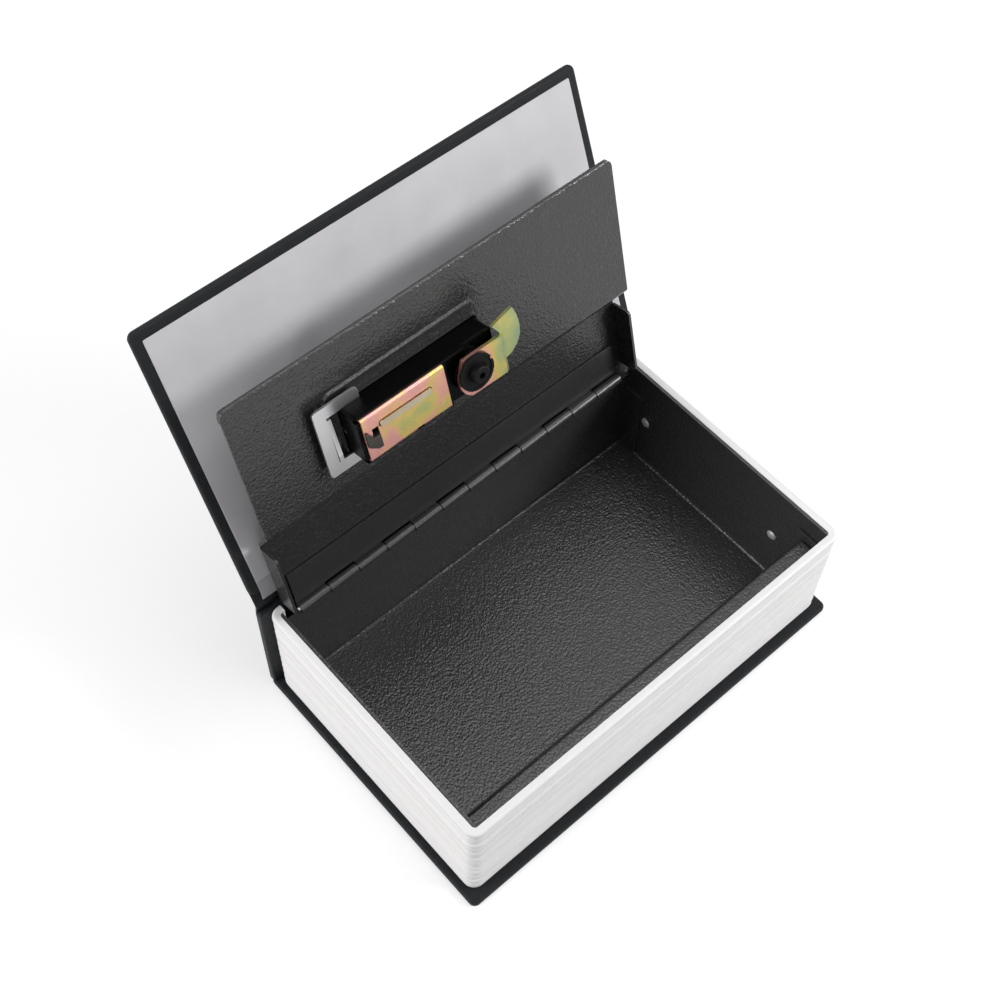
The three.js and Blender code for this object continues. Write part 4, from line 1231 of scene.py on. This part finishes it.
    def joint_paper(self) -> bpy.types.Object:
        """Builds the strip of endpaper from the front board's edge down over the cloth.

        Returns:
            The strip, which rides on the cover.
        """
        face = -self.cover_thickness - self.paper_gap
        cloth = -(self.cloth_tuck + self.joint_dip + self.cloth_thickness + self.paper_gap)
        root = self.fold.at(0, self.bend + self.board_gap, cloth)
        edge = self.fold.at(0, self.cloth_span, face)
        head = self.fold.at(0, self.cloth_span + self.paper_foot + self.board_gap, face)
        steps = self.paper_steps
        line = [root.lerp(edge, step / steps) for step in range(steps)]
        line += [edge.lerp(head, step / steps) for step in range(steps + 1)]
        half_x = self.high.x - self.paper_margin
        thickness = self.paper_thickness * self.strip_share
        piece = self.strip("joint_paper", line, half_x, thickness)
        self.finishes.dress(piece, Finish.ENDPAPER)
        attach(piece, "cover")
        return piece

    def finish(
        self,
        piece: bpy.types.Object,
        body: str,
        nodes: Sequence[str],
        finish: Finish = Finish.LEATHERETTE,
        slot: str = "leatherette",
    ) -> bpy.types.Object:
        """Dresses a rigid piece of the case and puts it in the place of its CAD nodes.

        Args:
            piece: The new piece.
            body: The body that it rides on.
            nodes: The CAD nodes that it stands for.
            finish: Its finish.
            slot: The record's slot of that finish; not used.

        Returns:
            The same piece.
        """
        self.finishes.dress(piece, finish)
        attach(piece, body)
        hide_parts(*nodes)
        return piece


@dataclass
class PageBlock:
    """The false pages: a ribbed wall on three sides with short returns at the rear.

    Attributes:
        finishes: The built materials.
        wall: The wall's thickness.
        corner: The radius of the block's upright corners.
        corner_steps: Steps on each corner's quarter round.
        top_round: The radius of the rim's outer edge.
        top_steps: Steps on the rim's quarter round.
        rear_return: The length of the returns at the rear.
        inner_drop: How far the rim's inner edge lies below its top.
        groove_depth: The depth of the deepest grooves between the ribs.
        depth_change: The share of that depth that changes from rib to rib.
        depth_rate: How fast it changes.
        bundles: The number of ribs.
        pitch_change: How far a groove wanders, as a share of the pitch.
        pitch_rate: How fast it wanders.
        samples: Steps across each rib.
        fullness: The ribs' shape: 1 is a plain half wave, and less is fuller.
        lean: How far a rib's top leans inwards, as a share of the depth.
    """

    finishes: Finishes
    wall: float = 3.1 * MM
    corner: float = 4.5 * MM
    corner_steps: int = 10
    top_round: float = 1.3 * MM
    top_steps: int = 6
    rear_return: float = 5.5 * MM
    inner_drop: float = 0.3 * MM
    groove_depth: float = 1.0 * MM
    depth_change: float = 0.2
    depth_rate: float = 3.1
    bundles: int = 12
    pitch_change: float = 0.12
    pitch_rate: float = 2.4
    samples: int = 10
    fullness: float = 0.85
    lean: float = 0.09

    def bundle_edges(self, bottom: float, top: float) -> list[float]:
        """Gives the heights of the grooves, with small changes of pitch.

        Args:
            bottom: The block's lower face.
            top: Its upper face.

        Returns:
            The heights from the bottom to the top.
        """
        pitch = (top - bottom) / self.bundles
        inner = [
            bottom + pitch * (i + self.pitch_change * math.sin(self.pitch_rate * i))
            for i in range(1, self.bundles)
        ]
        return [bottom, *inner, top]

    def outer_profile(self, bottom: float, top: float) -> list[Point2]:
        """Gives the ribbed outer face as insets and heights, upwards.

        Args:
            bottom: The block's lower face.
            top: Its upper face.

        Returns:
            Pairs of inset and height.
        """
        edges = self.bundle_edges(bottom, top)
        profile = []
        for i in range(self.bundles):
            low, high = edges[i], edges[i + 1]
            change = self.depth_change * (1 - math.cos(self.depth_rate * i))
            depth = self.groove_depth * (1 - change)
            for step in range(self.samples):
                share = step / self.samples
                swell = math.sin(math.pi * share) ** self.fullness if share > 0 else 0.0
                inset = depth * (1 - swell + self.lean * share)
                height = low + (high - low) * share
                if height > top - self.top_round:
                    break
                profile.append((inset, height))
        for step in range(self.top_steps + 1):
            angle = math.pi / 2 * step / self.top_steps
            inset = self.top_round * (1 - math.cos(angle))
            profile.append((inset, top - self.top_round * (1 - math.sin(angle))))
        return profile

    def path(self, half_x: float, front: float, rear: float) -> list[tuple[Vector, Vector]]:
        """Gives the way round the block, from one rear return to the other.

        Args:
            half_x: Half the block's length.
            front: The front face's place.
            rear: The rear face's place.

        Returns:
            Points on the outer face with the direction in which an inset moves them.
        """
        forwards = Vector((0, -1, 0))
        reach = half_x - self.corner
        back, fore = rear - self.corner, front + self.corner
        corners = ((-reach, back), (-reach, fore), (reach, fore), (reach, back))
        way = [(Vector((-half_x + self.rear_return, rear, 0)), forwards)]
        for quarter, (x, y) in enumerate(corners, start=1):
            for step in range(self.corner_steps + 1):
                angle = math.pi / 2 * (quarter + step / self.corner_steps)
                out = Vector((math.cos(angle), math.sin(angle), 0))
                way.append((Vector((x, y, 0)) + out * self.corner, -out))
        way.append((Vector((half_x - self.rear_return, rear, 0)), forwards))
        return way

    def build(self) -> list[bpy.types.Object]:
        """Builds the block and puts it in the place of its CAD node.

        Returns:
            The block, as the only piece.
        """
        low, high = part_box("page_block")
        profile = self.outer_profile(low.z, high.z)
        section = [*profile, (self.wall, high.z - self.inner_drop), (self.wall, low.z)]
        points = []
        for point, inward in self.path(high.x, low.y, high.y):
            points += [point + inward * inset + Vector((0, 0, z)) for inset, z in section]
        count = len(section)
        faces = capped(len(points) // count, count)
        piece = solid_piece("page_edges", points, faces)
        self.finishes.dress(piece, Finish.PAGE)
        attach(piece, "safe_body")
        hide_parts("page_block")
        return [piece]


@dataclass
class SteelBox:
    """The cash tray, its front wall, rivets and hinge, and the inner lid."""

    finishes: Finishes
    sheet_rounding: float = 0.32 * MM
    rivets: int = 4

    def build(self) -> list[bpy.types.Object]:
        """Dresses the carried-over steel nodes."""
        plan = {
            Finish.PAINT: ("cash_tray", "front_wall", "lid_panel"),
            Finish.HINGE_PAINT: ("body_hinge_leaf", "lid_hinge_leaf"),
            Finish.BRIGHT: ("hinge_pin",),
            Finish.RIVET: tuple(f"tray_rivet_{i + 1}" for i in range(self.rivets)),
        }
        return dress_nodes(self.finishes, plan, self.sheet_rounding)


@dataclass
class CamLock:
    """The combination cam lock on the inner lid, with the digits on its dial wheels.

    Attributes:
        finishes: The built materials.
        edge_rounding: The rounding of the lock pieces' edges.
        wheels: The number of dial wheels.
        digits: The number of digits on each.
        wheel_radius: A wheel's radius.
        digit_height: The height of the digits.
        digit_share: A digit's height as a share of its letter size.
        digit_relief: How far the digits stand out of the wheel.
    """

    finishes: Finishes
    edge_rounding: float = 0.15 * MM
    wheels: int = 3
    digits: int = 10
    wheel_radius: float = 7.0 * MM
    digit_height: float = 2.9 * MM
    digit_share: float = 0.7
    digit_relief: float = 0.05 * MM

    def build(self) -> list[bpy.types.Object]:
        """Dresses the lock's CAD nodes and adds the digits.

        Returns:
            The dressed nodes and the rings of digits.
        """
        wheel_names = tuple(f"dial_wheel_{i + 1}" for i in range(self.wheels))
        plan = {
            Finish.BLACK: ("lock_case", "turn_knob"),
            Finish.NUT: ("cam_nut",),
            Finish.DIAL: wheel_names,
            Finish.BRIGHT: ("wheel_shaft", "retaining_clip"),
            Finish.GREY: ("detent_spring",),
            Finish.DARK: ("code_lever", "spindle"),
            Finish.ZINC_PLATE: ("lock_cover_plate",),
            Finish.ZINC_CAM: ("cam",),
        }
        made = dress_nodes(self.finishes, plan, self.edge_rounding)
        return made + [self.wheel_digits(i + 1) for i in range(self.wheels)]

    def wheel_digits(self, number: int) -> bpy.types.Object:
        """Builds the raised digits round one wheel.

        Args:
            number: The wheel's number, from 1.

        Returns:
            One object with all ten digits.
        """
        centre = Vector(joint(f"wheel_{number}_turn")["pos_m"])
        lid = HingePlane.from_joint("lid_hinge")
        turned = Matrix.Rotation(-lid.open_angle, 4, "X")
        ring = bmesh.new()
        for digit in range(self.digits):
            letter = bpy.data.curves.new("digit", "FONT")
            letter.body = str(digit)
            letter.size = self.digit_height / self.digit_share
            letter.extrude = self.digit_relief
            letter.align_x = "CENTER"
            letter.align_y = "CENTER"
            carrier = bpy.data.objects.new("digit", letter)
            mesh = bpy.data.meshes.new_from_object(carrier)
            angle = 2 * math.pi * (digit + 0.5) / self.digits
            around = Matrix.Rotation(angle - math.pi / 2, 4, "X")
            out = Matrix.Translation((0, 0, self.wheel_radius))
            mesh.transform(Matrix.Translation(centre) @ turned @ around @ out)
            ring.from_mesh(mesh)
            bpy.data.objects.remove(carrier)
            bpy.data.meshes.remove(mesh)
            bpy.data.curves.remove(letter)
        mesh = bpy.data.meshes.new(f"dial_digits_{number}")
        ring.to_mesh(mesh)
        ring.free()
        piece = bpy.data.objects.new(mesh.name, mesh)
        bpy.context.scene.collection.objects.link(piece)
        self.finishes.dress(piece, Finish.DIGIT)
        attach(piece, f"wheel_{number}")
        return piece


# Studio


@dataclass(frozen=True)
class StudioLight:
    """A soft rectangular lamp aimed at the object.

    Attributes:
        name: The lamp's name.
        azimuth: Where it stands round the object, in degrees.
        elevation: Its height above the horizon, in degrees.
        distance: How far it stands from its target.
        size: The length of its sides.
        power: Its power in watts.
    """

    name: str
    azimuth: float
    elevation: float
    distance: float
    size: float
    power: float

    def place(self, target: Vector) -> None:
        """Adds the lamp to the scene.

        Args:
            target: The point that it is aimed at.
        """
        data = bpy.data.lights.new(self.name, "AREA")
        data.shape = "SQUARE"
        data.size = self.size
        data.energy = self.power
        lamp = bpy.data.objects.new(self.name, data)
        away = outward(self.azimuth, self.elevation)
        lamp.location = target + away * self.distance
        lamp.rotation_mode = "QUATERNION"
        lamp.rotation_quaternion = away.to_track_quat("Z", "Y")
        bpy.context.scene.collection.objects.link(lamp)


@dataclass(frozen=True)
class Camera:
    """The photograph's camera, solved from the object's edges.

    Attributes:
        place: Where it stands, in metres.
        azimuth: The side that it looks from, in degrees.
        elevation: How steeply it looks down, in degrees.
        roll: Its tilt about its own axis, in degrees.
        lens: The focal length for the sensor's width.
        sensor: The sensor's width in millimetres.
        near: The distance from which it sees, in metres.
    """

    place: tuple[float, float, float] = (-0.20171, -0.18270, 0.52805)
    azimuth: float = -43.23
    elevation: float = 57.65
    roll: float = 2.08
    lens: float = 56.59
    sensor: float = 36.0
    near: float = 0.01

    def build(self) -> None:
        """Adds the camera and makes it the scene's."""
        data = bpy.data.cameras.new("photo_camera")
        data.lens = self.lens
        data.sensor_width = self.sensor
        data.clip_start = self.near
        camera = bpy.data.objects.new("photo_camera", data)
        back = outward(self.azimuth, self.elevation)
        aim = back.to_track_quat("Z", "Y").to_matrix().to_4x4()
        tilt = Matrix.Rotation(math.radians(self.roll), 4, "Z")
        camera.matrix_world = Matrix.Translation(self.place) @ aim @ tilt
        bpy.context.scene.collection.objects.link(camera)
        bpy.context.scene.camera = camera


@dataclass(frozen=True)
class Studio:
    """The plain pale floor, the soft lamps and the world light.

    Attributes:
        floor_size: The length of the floor's sides.
        floor_colour: The floor's own colour.
        floor_dull: The floor's roughness.
        floor_glow: What is added to the floor where the camera or a reflection sees it.
        world_strength: The strength of the world's light on the object.
        lamps: The soft lamps.
    """

    floor_size: float = 6.0
    floor_colour: Colour = (0.6, 0.6, 0.6)
    floor_dull: float = 0.9
    floor_glow: float = 0.54
    world_strength: float = 0.12
    lamps: tuple[StudioLight, ...] = (
        StudioLight("key", 44, 30, 1.3, 0.5, 11.0),
        StudioLight("side", -108, 28, 1.3, 0.6, 11.2),
        StudioLight("top", 75, 78, 1.4, 0.8, 5.0),
    )

    def build(self) -> None:
        """Adds the floor, the lamps and the world, and sets the view transform."""
        low, high = CAD_BOX
        middle = (low + high) / 2
        self.floor(low.z)
        for lamp in self.lamps:
            lamp.place(Vector((middle.x, middle.y, low.z)))
        self.world()
        bpy.context.scene.view_settings.view_transform = "Standard"

    def floor(self, height: float) -> None:
        """Adds a pale floor that keeps the object's shadow.

        Args:
            height: The floor's height.
        """
        half = self.floor_size / 2
        square = ((-half, -half), (half, -half), (half, half), (-half, half))
        corners = [Vector((x, y, height)) for x, y in square]
        floor = solid_piece("floor", corners, [(0, 1, 2, 3)])
        material = bpy.data.materials.new("pale_floor")
        material.use_nodes = True
        nodes = NodeTree(material.node_tree)
        shader = material.node_tree.nodes["Principled BSDF"]
        shader.inputs["Base Color"].default_value = (*self.floor_colour, 1.0)
        shader.inputs["Roughness"].default_value = self.floor_dull
        shader.inputs["Specular IOR Level"].default_value = 0.0
        glow = nodes.add("Emission", Strength=nodes.math("MULTIPLY", nodes.seen(), self.floor_glow))
        both = nodes.add("AddShader")
        nodes.feed(both.inputs[0], shader.outputs[0])
        nodes.feed(both.inputs[1], glow.outputs[0])
        nodes.feed(material.node_tree.nodes["Material Output"].inputs["Surface"], both.outputs[0])
        floor.data.materials.append(material)

    def world(self) -> None:
        """Sets an even pale world light that looks white to the camera."""
        world = bpy.data.worlds.new("studio")
        world.use_nodes = True
        bpy.context.scene.world = world
        nodes = NodeTree(world.node_tree)
        extra = nodes.math("MULTIPLY", nodes.seen(), 1.0 - self.world_strength)
        strength = nodes.math("ADD", extra, self.world_strength)
        background = world.node_tree.nodes["Background"]
        background.inputs["Color"].default_value = (1.0, 1.0, 1.0, 1.0)
        nodes.feed(background.inputs["Strength"], strength)


def main() -> None:
    """Builds the sub-assemblies in order and reports each piece."""
    logging.basicConfig(level=logging.INFO, format="%(name)s: %(message)s")
    finishes = Finishes()
    for kind in (BookCase, PageBlock, SteelBox, CamLock):
        for piece in kind(finishes).build():
            faces = len(piece.data.polygons)
            LOG.info("%s: %s with %d faces", kind.__name__, piece.name, faces)
    Studio().build()
    Camera().build()


if __name__ == "__main__":
    main()
